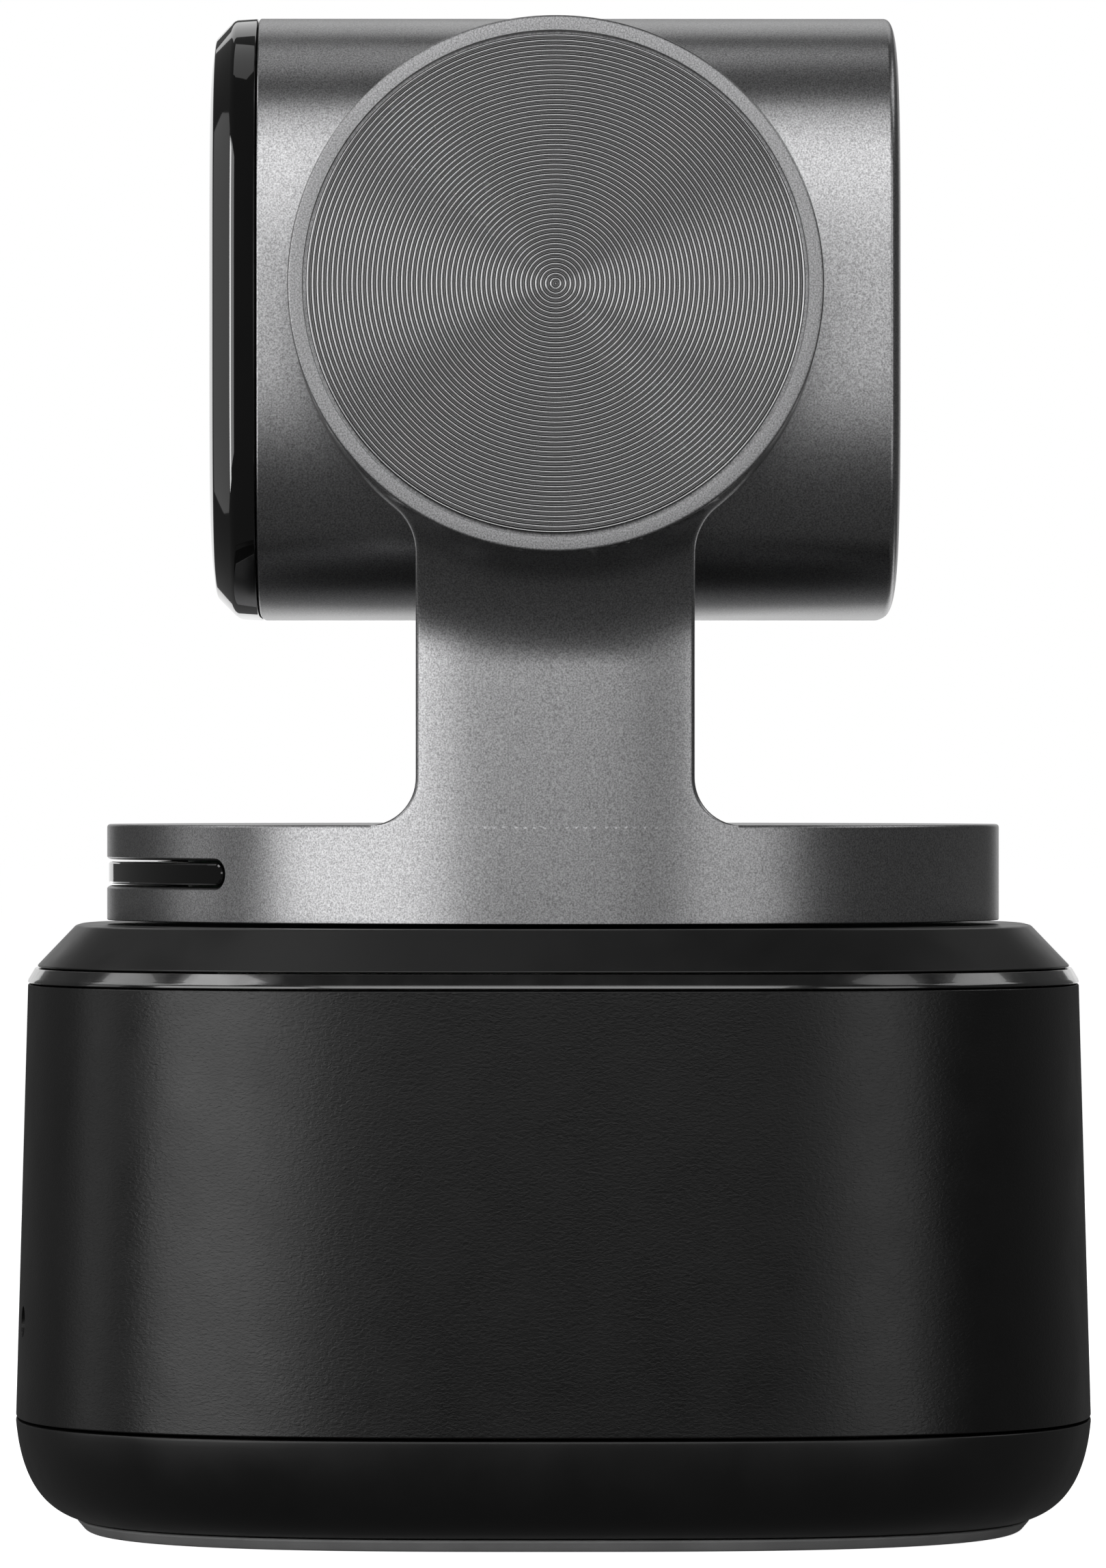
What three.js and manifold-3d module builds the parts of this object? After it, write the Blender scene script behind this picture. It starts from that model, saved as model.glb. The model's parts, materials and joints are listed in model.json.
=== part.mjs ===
// Desktop pan-tilt camera: a heavy base, a turntable with one arm, and a head whose lens group focuses.
// Millimetres, +Z up. The origin is the centre of the foot's underside, and the lens looks along -Y.
// The turntable turns about the Z axis, and the head about a line along X through the arm's round housing.

import * as THREE from 'three';
import { mergeVertices } from 'three/addons/utils/BufferGeometryUtils.js';
import Module from 'manifold-3d';

const wasm = await Module();
wasm.setup();

// ---- Driving dimensions -----------------------------------------------------------------------------------

const OUTER_SEGMENTS = 48; // round the visible covers
const INNER_SEGMENTS = 16; // round the hidden pieces
const SCREW_SEGMENTS = 8;
const HOLE_SEGMENTS = 12; // round the small holes that show
const CURVE_SEGMENTS = 8; // along each arc of an extruded outline
const ARC_BAR_SEGMENTS = 12;
const MERGE_DISTANCE = 1e-4;
const REACH = 1; // how far a cutting tool runs past the face it cuts
const SEAT_GAP = 0.1; // between two hidden pieces that sit on each other

const PLAN_EXPONENT = 3.0; // superellipse exponent of the base's rounded-square plan

const FOOT = { top: 0.53, lowHalf: 21.2, highHalf: 21.65, hole: 4.4 };
const CUP = { bottom: 0.6, top: 5.0, half: 24.3, wall: 1.6, floor: 2.1, innerCorner: 1.5, curveSteps: 5 };
const CUP_CURVE = [[21.65, 0.6], [23.3, 1.05], [24.1, 2.6], [24.3, 5.0]]; // Bezier [half width, height]
const SHELL = { bottom: 5.12, top: 24.55, lowHalf: 24.3, highHalf: 23.76, wall: 1.8 };
const TRIM = { bottom: 24.62, top: 25.26, lowHalf: 23.76, highHalf: 23.45, inner: 22.0, lip: 0.12 };
const COVER = {
  bottom: 25.32, ceiling: 25.8, top: 27.2, lowHalf: 23.4, highHalf: 21.5, lip: 20.6, hole: 4.0,
};
const COVER_EDGE = [[0.45, 0.25], [0.22, 0.06], [0, 0]]; // rounded upper edge: [out, down] from the top's rim

const BASE_PLATE = { bottom: 2.3, top: 4.5, half: 19.6, hole: 4.5 };
const INSERT = { bottom: 0.65, top: 6.6, radius: 4.1, bore: 2.6, boreTop: 5.8, flange: 6.0, flangeTop: 5.6 };
const FRAME = {
  cup: 11.15, wall: 1.45, bottom: 12.5, ceiling: 22.7, flange: 20.5, flangeBottom: 24.2, top: 25.7,
};
const POST = { offset: 13.5, radius: 2.0, bottom: 4.8, boreTop: 8.2, bore: 0.85 };
const BASE_SCREW = {
  head: 1.4, headBottom: 0.75, headTop: 1.5, shank: 0.7, tip: 7.9, pocket: 1.6, hole: 0.9,
};
const MOTOR_PLATE = { bottom: 11.2, top: 12.4, bore: 5.0 };

const SHAFT = { radius: 3.2, bore: 1.9, bottom: 11.2, top: 29.35, flange: 7.5, flangeBottom: 28.55 };
const RUNNING_CLEARANCE = 0.1; // between a shaft and the bearing round it
const PAN_BEARING = { upper: [23.4, 25.4], lower: [11.25, 12.35], upperOuter: 5.95, lowerOuter: 4.95 };
const BEARING_SEAT = 6.0;
const PAN_STATOR = { inner: 7.2, outer: 11.0, bottom: 14.6, top: 20.4 };
const PAN_ROTOR = { inner: 3.3, outer: 6.9, bottom: 14.9, top: 20.1 };

const BOARD = { radius: 16.4, bottom: 8.6, top: 9.4, tabHalf: 6, tabEnd: 21.8 };
const CHIP = { width: 10, depth: 10, bottom: 9.45, height: 0.9, y: -3 };
const CONNECTOR = { width: 6, depth: 2.2, bottom: 9.45, height: 1.1, y: 10 };
const SOCKET = { width: 8.94, height: 3.26, wall: 0.3, z: 11.08, inner: 16.6, mouth: 23.95, floor: 1.2 };
const TONGUE = { width: 6.7, thickness: 0.7, mouth: 22.9 };
const SOCKET_CLEARANCE = 0.3;
const MIC = { x: 9.0, z: 9.5, hole: 0.7, capsule: 1.8, front: -21.5, back: -20.4 };

const TURNTABLE = { radius: 20.28, bottom: 27.39, top: 31.74, recess: 17.9, ceiling: 30.3, edge: 0.15 };
const SLOT = { z: 29.55, height: 1.2, halfAngle: 42, depth: 17.2 };
const WINDOW = { inner: 18.0, outer: 20.2, height: 1.0, halfAngle: 41.8 };
const LED_BOARD = { inner: 16.0, outer: 16.6, bottom: 28.9, top: 30.1, halfAngle: 38 };
const TURNTABLE_PLATE = { radius: 17.6, bottom: 27.5, top: 28.45, hole: 3.4 };
const TURNTABLE_SCREW = { ring: 12, head: 1.0, bottom: 27.55, headTop: 28.05, shank: 0.5, tip: 29.9 };
const TURNTABLE_SCREW_ANGLES = [30, 150, 270];
const TURNTABLE_BOSS = {
  radius: 1.5, bottom: 28.55, bore: 0.6, boreTop: 30.1, pocket: 1.15, pocketTop: 28.15,
};

const TILT_Z = 55.34; // height of the head's turning axis
const ARM_INNER_X = 16.9; // the arm's flat side, next to the head
const NECK = { halfWidth: 6.12, lowFillet: 2.1, highFillet: 2.4, web: 2.0 };
const NECK_STEPS = { lowFillet: 6, highFillet: 4, flare: 6, web: 5 };
const HOUSING = { radius: 11.68, flare: 0.32, faceX: 23.4, edge: 0.25, flareEnd: 15 };
const BEND = { turn: 65, columns: 20, steps: 6, margin: 1.0 }; // the neck's outward bend into the housing
const CAP_SEAT = { radius: 11.02, x: 22.4 };
const DISC_CAP = { radius: 10.87, inner: 22.45, outer: 23.33, bevel: 0.08 };
const CAVITY = { radius: 9.6, x: 18.9 };
const TILT_BEARING = { outer: 4.05, inner: 17.1, end: 18.7, seat: 4.1 };
const TILT_STATOR = { inner: 5.2, outer: 9.3, start: 20.1, end: 22.1 };
const TILT_ROTOR = { inner: 2.1, outer: 4.9, start: 20.3, end: 21.9 };
const TILT_SHAFT = { radius: 2.0, bore: 1.2, start: 12.6, end: 22.2 };
const TILT_FLANGE = { radius: 5.0, start: 13.4, end: 14.4 };
const DUCT = { half: 3.6, inner: 17.6, outer: 18.6, bottom: 28.6, top: 46.2, web: 17.8, lap: 0.4, drop: 0.3 };
const ARM_COVER = { half: 4.3, inner: 17.0, outer: 17.5, bottom: 33.9, top: 46.6 };
const CABLE = {
  half: 2.8, thickness: 0.2, x: 18.1, inner: 13.5, outer: 19.6, bottom: 29.2, top: 46.7, room: 0.2,
};

const HEAD = { halfWidth: 16.4, halfHeight: 13.5, exponent: 4.0, z: 54.55, wall: 1.3 };
const HEAD_SHELL = { front: -13.19, back: 15.4, innerBack: 14.0, innerCorner: 0.8, shaftHole: 2.4 };
// The rounded rear edge: [in from the side, forward of the back].
const HEAD_BACK_EDGE = [[0, 0.5], [0.12, 0.34], [0.6, 0.2], [1.4, 0.09], [3, 0.02]];
const BEZEL = { back: -13.25, opening: 10.9, rabbet: 9.9, ledge: -14.1 };
const BEZEL_EDGE = [[1.9, -15.26], [0.9, -15.12], [0.12, -14.36], [0, -14.2]]; // [in from the side, Y]
const PANEL = { half: 10.8, front: -15.32, crown: -15.38, back: -14.2, lensHole: 7.2 };
const LENS_WINDOW = { radius: 7.1, front: -15.25, back: -14.5 };
const HOOD = { outer: 7.0, front: -14.35, back: -10.2, mouth: 6.5, throat: 3.9, steps: 4 };
const LENS_HOUSING = { side: 15, front: -10.0, back: -1.0, bore: 6.5, boreEnd: -2.0 };
const SENSOR_OPENING = { width: 6, height: 5 };
const MAGNET = { inner: 5.2, outer: 6.4, front: -9.0, back: -4.5 };
const LENS_BARREL = { outer: 4.15, inner: 3.4, front: -9.7, back: -3.0 };
const FOCUS_COIL = { inner: 4.25, outer: 4.95, front: -8.6, back: -5.2 };
const LENS_ELEMENT = { radius: 3.3, front: [-9.5, -8.6], rear: [-6.0, -5.2], bulge: 0.5, steps: 3 };
const IR_FILTER = { width: 7, height: 6, front: -0.9, back: -0.6 };
const SENSOR = { width: 8.5, height: 7, front: -0.5, back: 0.2 };
const SENSOR_BOARD = { width: 20, height: 17, front: 0.3, back: 1.1 };
const HEAT_SPREADER = { width: 24, height: 20, front: 1.4, back: 2.6 };
const BOARD_SCREW = { offset: 6.4, head: 1.0, headBack: 3.2, shank: 0.45, tip: -3.6, hole: 0.6, thread: 0.5 };
const BOARD_THREAD_END = -4.0;

const FINISH = {
  anodised: { color: 0x8b8b8c, roughness: 0.42, metalness: 0.9 },
  ridged: { color: 0x77777a, roughness: 0.28, metalness: 1.0 },
  satinBlack: { color: 0x141414, roughness: 0.45, metalness: 0.0 },
  grainBlack: { color: 0x232323, roughness: 0.6, metalness: 0.0 },
  glossBlack: { color: 0x060606, roughness: 0.08, metalness: 0.0 },
  rubber: { color: 0x5a5a5a, roughness: 0.75, metalness: 0.0 },
  steel: { color: 0x9a9a9c, roughness: 0.35, metalness: 1.0 },
  brass: { color: 0xb09050, roughness: 0.35, metalness: 1.0 },
  castMetal: { color: 0x8f9092, roughness: 0.55, metalness: 0.8 },
  copper: { color: 0x9a5a34, roughness: 0.45, metalness: 0.9 },
  magnet: { color: 0x6f7176, roughness: 0.4, metalness: 0.9 },
  circuit: { color: 0x16301f, roughness: 0.5, metalness: 0.1 },
  chip: { color: 0x1b1b1d, roughness: 0.5, metalness: 0.0 },
  flexFilm: { color: 0x8a5a1c, roughness: 0.4, metalness: 0.1 },
  glass: { color: 0x20242c, roughness: 0.03, metalness: 0.0 },
  matteBlack: { color: 0x101010, roughness: 0.8, metalness: 0.0 },
};

// ---- Solids: closing, joining and cutting -----------------------------------------------------------------

const radians = (degrees) => THREE.MathUtils.degToRad(degrees);

// Keeps only the positions, merges shared corners and drops triangles that have collapsed to a line.
function closedForm(geometry) {
  geometry.deleteAttribute('normal');
  geometry.deleteAttribute('uv');
  const merged = mergeVertices(geometry, MERGE_DISTANCE);
  const corners = merged.getIndex().array;
  const kept = [];
  for (let i = 0; i < corners.length; i += 3) {
    const [a, b, c] = [corners[i], corners[i + 1], corners[i + 2]];
    if (a !== b && b !== c && c !== a) {
      kept.push(a, b, c);
    }
  }
  merged.setIndex(kept);
  return merged;
}

function toSolid(geometry) {
  const closed = closedForm(geometry);
  return new wasm.Manifold(new wasm.Mesh({
    numProp: 3,
    vertProperties: new Float32Array(closed.getAttribute('position').array),
    triVerts: new Uint32Array(closed.getIndex().array),
  }));
}

function toGeometry(solid) {
  const mesh = solid.getMesh();
  const geometry = new THREE.BufferGeometry();
  geometry.setAttribute('position', new THREE.BufferAttribute(mesh.vertProperties, 3));
  geometry.setIndex(new THREE.BufferAttribute(mesh.triVerts, 1));
  return geometry;
}

function cut(body, ...tools) {
  return toGeometry(tools.reduce((rest, tool) => rest.subtract(toSolid(tool)), toSolid(body)));
}

function join(...bodies) {
  return toGeometry(bodies.map(toSolid).reduce((whole, body) => whole.add(body)));
}

function common(body, other) {
  return toGeometry(toSolid(body).intersect(toSolid(other)));
}

// ---- Basic forms ------------------------------------------------------------------------------------------

// A profile of [radius, height] points turned about +Y. It runs counter-clockwise, radius to the right.
function turned(profile, segments = INNER_SEGMENTS) {
  const points = profile.map(([radius, height]) => new THREE.Vector2(radius, height));
  return new THREE.LatheGeometry(points, segments);
}

const closeUp = (profile) => [...profile, profile[0]];
const ringProfile = (inner, outer, low, high) => (
  closeUp([[inner, low], [outer, low], [outer, high], [inner, high]])
);
const discProfile = (radius, low, high) => [[0, low], [radius, low], [radius, high], [0, high]];

const standing = (geometry) => geometry.rotateX(Math.PI / 2); // +Y to +Z
const lying = (geometry) => geometry.rotateZ(-Math.PI / 2); // +Y to +X

const ringZ = (inner, outer, low, high, segments) => (
  standing(turned(ringProfile(inner, outer, low, high), segments))
);
const discZ = (radius, low, high, segments) => standing(turned(discProfile(radius, low, high), segments));
const ringX = (inner, outer, low, high, segments) => (
  lying(turned(ringProfile(inner, outer, low, high), segments))
);
const discX = (radius, low, high, segments) => lying(turned(discProfile(radius, low, high), segments));
const ringY = (inner, outer, low, high, segments) => turned(ringProfile(inner, outer, low, high), segments);
const discY = (radius, low, high, segments) => turned(discProfile(radius, low, high), segments);

function box(low, high) {
  const size = high.map((value, axis) => value - low[axis]);
  const middle = high.map((value, axis) => (value + low[axis]) / 2);
  return new THREE.BoxGeometry(...size).translate(...middle);
}

const block = (width, height, front, back, z) => (
  box([-width / 2, front, z - height / 2], [width / 2, back, z + height / 2])
);

// Turns a round form about Y into a superellipse one. What lies within roundBelow of the axis stays round.
function squareOff(geometry, exponent, widthRatio = 1, roundBelow = 0) {
  const position = geometry.getAttribute('position');
  for (let i = 0; i < position.count; i += 1) {
    const [x, y, z] = [position.getX(i), position.getY(i), position.getZ(i)];
    const radius = Math.hypot(x, z);
    if (radius > roundBelow) {
      const [c, s] = [Math.abs(x / radius), Math.abs(z / radius)];
      const stretch = (c ** exponent + s ** exponent) ** (-1 / exponent);
      position.setXYZ(i, x * stretch * widthRatio, y, z * stretch);
    }
  }
  return geometry;
}

function planForm(profile, roundBelow = 0) {
  return standing(squareOff(turned(profile, OUTER_SEGMENTS), PLAN_EXPONENT, 1, roundBelow));
}

function headForm(profile, roundBelow = 0) {
  const ratio = HEAD.halfWidth / HEAD.halfHeight;
  return squareOff(turned(profile, OUTER_SEGMENTS), HEAD.exponent, ratio, roundBelow).translate(0, 0, HEAD.z);
}

// Extrudes an outline across the given axis: along Z it is (x, y), along Y (x, z), along X (y, z).
function extruded(outline, depth, curveSegments = CURVE_SEGMENTS) {
  return new THREE.ExtrudeGeometry(outline, { depth, curveSegments, bevelEnabled: false });
}

const alongZ = (outline, from, to, curve) => extruded(outline, to - from, curve).translate(0, 0, from);
const alongY = (outline, from, to) => extruded(outline, to - from).rotateX(Math.PI / 2).translate(0, to, 0);
const alongX = (outline, from, to) => (
  extruded(outline, to - from).rotateX(Math.PI / 2).rotateZ(Math.PI / 2).translate(from, 0, 0)
);

function polygon(points) {
  return new THREE.Shape(points.map(([u, v]) => new THREE.Vector2(u, v)));
}

function stadium(width, height, centreHeight) {
  const radius = height / 2;
  const shape = new THREE.Shape();
  shape.absarc(width / 2 - radius, centreHeight, radius, -Math.PI / 2, Math.PI / 2, false);
  shape.absarc(radius - width / 2, centreHeight, radius, Math.PI / 2, 1.5 * Math.PI, false);
  return shape;
}

// A flat bar bent round the Z axis, centred on the front, between two radii.
function arcBar(inner, outer, low, high, halfAngle) {
  const [start, end] = [radians(-90 - halfAngle), radians(-90 + halfAngle)];
  const shape = new THREE.Shape();
  shape.absarc(0, 0, outer, start, end, false);
  shape.absarc(0, 0, inner, end, start, true);
  return alongZ(shape, low, high, ARC_BAR_SEGMENTS);
}

// The same bar with half-round ends, as the status slot and its window have.
function roundEndedBar(inner, outer, middle, height, halfAngle) {
  const radius = height / 2;
  const ends = [-halfAngle, halfAngle].map((angle) => (
    discX(radius, inner, outer).rotateZ(radians(angle - 90)).translate(0, 0, middle)
  ));
  return join(arcBar(inner, outer, middle - radius, middle + radius, halfAngle), ...ends);
}

// A straight screw about +Y, head first.
function screw({ head, headHeight, shank, length }) {
  return turned([[0, 0], [head, 0], [head, headHeight], [shank, headHeight], [shank, length], [0, length]],
    SCREW_SEGMENTS);
}

// ---- Base -------------------------------------------------------------------------------------------------

const CORNERS = [[1, -1], [1, 1], [-1, 1], [-1, -1]];
const atCorners = (offset, make) => CORNERS.map(([u, v]) => make(u * offset, v * offset));

const footPad = () => planForm(
  closeUp([[FOOT.hole, 0], [FOOT.lowHalf, 0], [FOOT.highHalf, FOOT.top], [FOOT.hole, FOOT.top]]),
  FOOT.hole + REACH,
);

function bottomCup() {
  const pulls = CUP_CURVE.map(([half, height]) => new THREE.Vector2(half, height));
  const curve = new THREE.CubicBezierCurve(...pulls);
  const outer = curve.getPoints(CUP.curveSteps).map((point) => [point.x, point.y]);
  const inner = CUP.half - CUP.wall;
  const profile = closeUp([
    [FOOT.hole, CUP.bottom], ...outer, [inner, CUP.top], [inner, CUP.floor + CUP.innerCorner],
    [inner - CUP.innerCorner, CUP.floor], [FOOT.hole, CUP.floor],
  ]);
  const pockets = atCorners(POST.offset, (x, y) => (
    discZ(BASE_SCREW.pocket, CUP.bottom - REACH, BASE_SCREW.headTop + SEAT_GAP, SCREW_SEGMENTS)
      .translate(x, y, 0)
  ));
  const holes = atCorners(POST.offset, (x, y) => (
    discZ(BASE_SCREW.hole, CUP.bottom, CUP.floor + REACH, SCREW_SEGMENTS).translate(x, y, 0)
  ));
  return cut(planForm(profile, FOOT.hole + REACH), ...pockets, ...holes);
}

function baseShell() {
  const profile = closeUp([
    [SHELL.lowHalf - SHELL.wall, SHELL.bottom], [SHELL.lowHalf, SHELL.bottom],
    [SHELL.highHalf, SHELL.top], [SHELL.highHalf - SHELL.wall, SHELL.top],
  ]);
  const socketHole = alongY(
    stadium(SOCKET.width + 2 * SOCKET_CLEARANCE, SOCKET.height + 2 * SOCKET_CLEARANCE, SOCKET.z),
    SOCKET.inner, SHELL.lowHalf + REACH,
  );
  const micHoles = [-MIC.x, MIC.x].map((x) => (
    discY(MIC.hole, -SHELL.lowHalf - REACH, MIC.back, HOLE_SEGMENTS).translate(x, 0, MIC.z)
  ));
  return cut(planForm(profile), socketHole, ...micHoles);
}

const trimRing = () => planForm(closeUp([
  [TRIM.inner, TRIM.bottom], [TRIM.lowHalf, TRIM.bottom], [TRIM.lowHalf, TRIM.bottom + TRIM.lip],
  [TRIM.highHalf, TRIM.top], [TRIM.inner, TRIM.top],
]));

const topCover = () => planForm(closeUp([
  [COVER.hole, COVER.ceiling], [COVER.lip, COVER.ceiling], [COVER.lip, COVER.bottom],
  [COVER.lowHalf, COVER.bottom],
  ...COVER_EDGE.map(([out, down]) => [COVER.highHalf + out, COVER.top - down]),
  [COVER.hole, COVER.top],
]), COVER.hole + REACH);

function basePlate() {
  const plate = planForm(
    ringProfile(BASE_PLATE.hole, BASE_PLATE.half, BASE_PLATE.bottom, BASE_PLATE.top),
    BASE_PLATE.hole + REACH,
  );
  const holes = atCorners(POST.offset, (x, y) => (
    discZ(BASE_SCREW.hole, BASE_PLATE.bottom - REACH, BASE_PLATE.top + REACH, SCREW_SEGMENTS)
      .translate(x, y, 0)
  ));
  return cut(plate, ...holes);
}

const tripodInsert = () => standing(turned([
  [0, INSERT.boreTop], [INSERT.bore, INSERT.boreTop], [INSERT.bore, INSERT.bottom],
  [INSERT.radius, INSERT.bottom], [INSERT.radius, BASE_PLATE.top + SEAT_GAP],
  [INSERT.flange, BASE_PLATE.top + SEAT_GAP],
  [INSERT.flange, INSERT.flangeTop], [INSERT.radius, INSERT.flangeTop], [INSERT.radius, INSERT.top],
  [0, INSERT.top],
]));

function baseFrame() {
  const outer = FRAME.cup + FRAME.wall;
  const body = standing(turned(closeUp([
    [BEARING_SEAT, FRAME.ceiling], [FRAME.cup, FRAME.ceiling], [FRAME.cup, FRAME.bottom],
    [outer, FRAME.bottom], [outer, FRAME.flangeBottom], [FRAME.flange, FRAME.flangeBottom],
    [FRAME.flange, FRAME.top], [BEARING_SEAT, FRAME.top],
  ])));
  const posts = atCorners(POST.offset, (x, y) => (
    discZ(POST.radius, POST.bottom, FRAME.top, SCREW_SEGMENTS).translate(x, y, 0)
  ));
  const bores = atCorners(POST.offset, (x, y) => (
    discZ(POST.bore, POST.bottom - REACH, POST.boreTop, SCREW_SEGMENTS).translate(x, y, 0)
  ));
  return cut(join(body, ...posts), ...bores);
}

const motorPlate = () => (
  ringZ(MOTOR_PLATE.bore, FRAME.cup + FRAME.wall, MOTOR_PLATE.bottom, MOTOR_PLATE.top)
);

const panBearing = ([low, high], outer) => ringZ(SHAFT.radius + RUNNING_CLEARANCE, outer, low, high);

const motorRing = ({ inner, outer, bottom, top }) => ringZ(inner, outer, bottom, top);

function mainBoard() {
  const disc = discZ(BOARD.radius, BOARD.bottom, BOARD.top);
  return join(disc, box([-BOARD.tabHalf, 0, BOARD.bottom], [BOARD.tabHalf, BOARD.tabEnd, BOARD.top]));
}

const boardPiece = ({ width, depth, bottom, height, y }) => (
  box([-width / 2, y - depth / 2, bottom], [width / 2, y + depth / 2, bottom + height])
);

function usbSocket() {
  const body = alongY(stadium(SOCKET.width, SOCKET.height, SOCKET.z), SOCKET.inner, SOCKET.mouth);
  const inside = stadium(SOCKET.width - 2 * SOCKET.wall, SOCKET.height - 2 * SOCKET.wall, SOCKET.z);
  return cut(body, alongY(inside, SOCKET.inner + SOCKET.floor, SOCKET.mouth + REACH));
}

const usbTongue = () => (
  block(TONGUE.width, TONGUE.thickness, SOCKET.inner + SOCKET.floor + SEAT_GAP, TONGUE.mouth, SOCKET.z)
);

const micCapsule = (side) => (
  discY(MIC.capsule, MIC.front, MIC.back, SCREW_SEGMENTS).translate(side * MIC.x, 0, MIC.z)
);

const baseScrew = (x, y) => standing(screw({
  head: BASE_SCREW.head,
  headHeight: BASE_SCREW.headTop - BASE_SCREW.headBottom,
  shank: BASE_SCREW.shank,
  length: BASE_SCREW.tip - BASE_SCREW.headBottom,
})).translate(x, y, BASE_SCREW.headBottom);

// ---- Turntable and arm ------------------------------------------------------------------------------------

function turntableDisc() {
  const { radius, bottom, top, recess, ceiling, edge } = TURNTABLE;
  return standing(turned([
    [0, ceiling], [recess, ceiling], [recess, bottom], [radius, bottom],
    [radius, top - edge], [radius - edge, top], [0, top],
  ], OUTER_SEGMENTS));
}

// The arm seen from its side: a neck with filleted ends that runs into the housing's circle.
function neckOutline() {
  const { halfWidth, lowFillet, highFillet } = NECK;
  const steps = NECK_STEPS;
  const circle = HOUSING.radius + HOUSING.flare;
  const across = halfWidth + highFillet;
  const meet = Math.acos(across / (circle + highFillet)); // angle below level where fillet and circle meet
  const filletZ = TILT_Z - Math.sqrt((circle + highFillet) ** 2 - across ** 2);
  const end = radians(HOUSING.flareEnd);
  const half = [[halfWidth + lowFillet, TURNTABLE.top - REACH]];
  for (let i = 0; i <= steps.lowFillet; i += 1) {
    const angle = (Math.PI / 2) * (i / steps.lowFillet);
    half.push([
      halfWidth + lowFillet * (1 - Math.sin(angle)),
      TURNTABLE.top + lowFillet * (1 - Math.cos(angle)),
    ]);
  }
  for (let i = 0; i <= steps.highFillet; i += 1) {
    const angle = meet * (i / steps.highFillet);
    half.push([across - highFillet * Math.cos(angle), filletZ + highFillet * Math.sin(angle)]);
  }
  for (let i = 1; i <= steps.flare; i += 1) {
    const angle = meet + (end - meet) * (i / steps.flare);
    const radius = HOUSING.radius + HOUSING.flare * (1 - i / steps.flare);
    half.push([radius * Math.cos(angle), TILT_Z - radius * Math.sin(angle)]);
  }
  const other = half.map(([y, z]) => [-y, z]).reverse();
  return polygon([...half, ...other]);
}

// The space inside the arm's outward side: the turntable's cylinder, bent outward into the housing's rim.
function outwardSide() {
  const { radius: rim, faceX, edge } = HOUSING;
  const rimX = faceX - edge;
  const turn = radians(BEND.turn);
  const backX = ARM_INNER_X - 2 * REACH;
  const [lowZ, highZ] = [TURNTABLE.bottom, TILT_Z + rim + REACH];
  const section = (y) => {
    const wallX = Math.sqrt(TURNTABLE.radius ** 2 - y ** 2);
    const rimZ = TILT_Z - Math.sqrt(Math.max(rim ** 2 - y ** 2, 0));
    const bend = (rimX - wallX) / (1 - Math.cos(turn));
    const startZ = rimZ - bend * Math.sin(turn);
    const points = [[backX, lowZ], [wallX, lowZ]];
    for (let i = 0; i <= BEND.steps; i += 1) {
      const angle = turn * (i / BEND.steps);
      points.push([wallX + bend * (1 - Math.cos(angle)), startZ + bend * Math.sin(angle)]);
    }
    points.push([rimX, highZ], [backX, highZ]);
    return points.map(([x, z]) => new THREE.Vector3(x, y, z));
  };
  const columns = [-rim - BEND.margin];
  for (let i = 0; i <= BEND.columns; i += 1) {
    columns.push(rim * Math.sin(Math.PI * (i / BEND.columns - 0.5)));
  }
  columns.push(rim + BEND.margin);
  return loft(columns.map(section));
}

// Skins a row of sections with the same number of points, and closes both ends from their middles.
function loft(sections) {
  const count = sections[0].length;
  const points = sections.flat();
  const corners = [];
  for (let row = 0; row + 1 < sections.length; row += 1) {
    for (let i = 0; i < count; i += 1) {
      const [a, b] = [row * count + i, row * count + ((i + 1) % count)];
      corners.push(a, b + count, b, a, a + count, b + count);
    }
  }
  [0, sections.length - 1].forEach((row) => {
    const middle = sections[row].reduce((sum, point) => sum.add(point), new THREE.Vector3());
    points.push(middle.divideScalar(count));
    for (let i = 0; i < count; i += 1) {
      const [a, b] = [row * count + i, row * count + ((i + 1) % count)];
      corners.push(...(row === 0 ? [a, b, points.length - 1] : [b, a, points.length - 1]));
    }
  });
  const geometry = new THREE.BufferGeometry().setFromPoints(points);
  geometry.setIndex(corners);
  return geometry;
}

function armHousing() {
  const { radius, faceX, edge } = HOUSING;
  return lying(turned([
    [0, ARM_INNER_X], [radius, ARM_INNER_X], [radius, faceX - edge], [radius - edge, faceX], [0, faceX],
  ], OUTER_SEGMENTS)).translate(0, 0, TILT_Z);
}

// A rounded web behind the neck's foot, below the space that the head sweeps.
function footWeb() {
  const { web, halfWidth } = NECK;
  const backX = ARM_INNER_X + REACH;
  const lowZ = TURNTABLE.top - REACH / 2;
  const points = [[backX, lowZ], [backX, TURNTABLE.top + web]];
  for (let i = 0; i <= NECK_STEPS.web; i += 1) {
    const angle = (Math.PI / 2) * (i / NECK_STEPS.web);
    points.push([
      ARM_INNER_X - web * (1 - Math.cos(angle)),
      TURNTABLE.top + web * (1 - Math.sin(angle)),
    ]);
  }
  points.push([ARM_INNER_X - web, lowZ]);
  return alongY(polygon(points.reverse()), -halfWidth, halfWidth);
}

const ringOfThree = (radius, make) => TURNTABLE_SCREW_ANGLES.map((angle) => (
  make(radius * Math.cos(radians(angle)), radius * Math.sin(radians(angle)))
));

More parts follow.
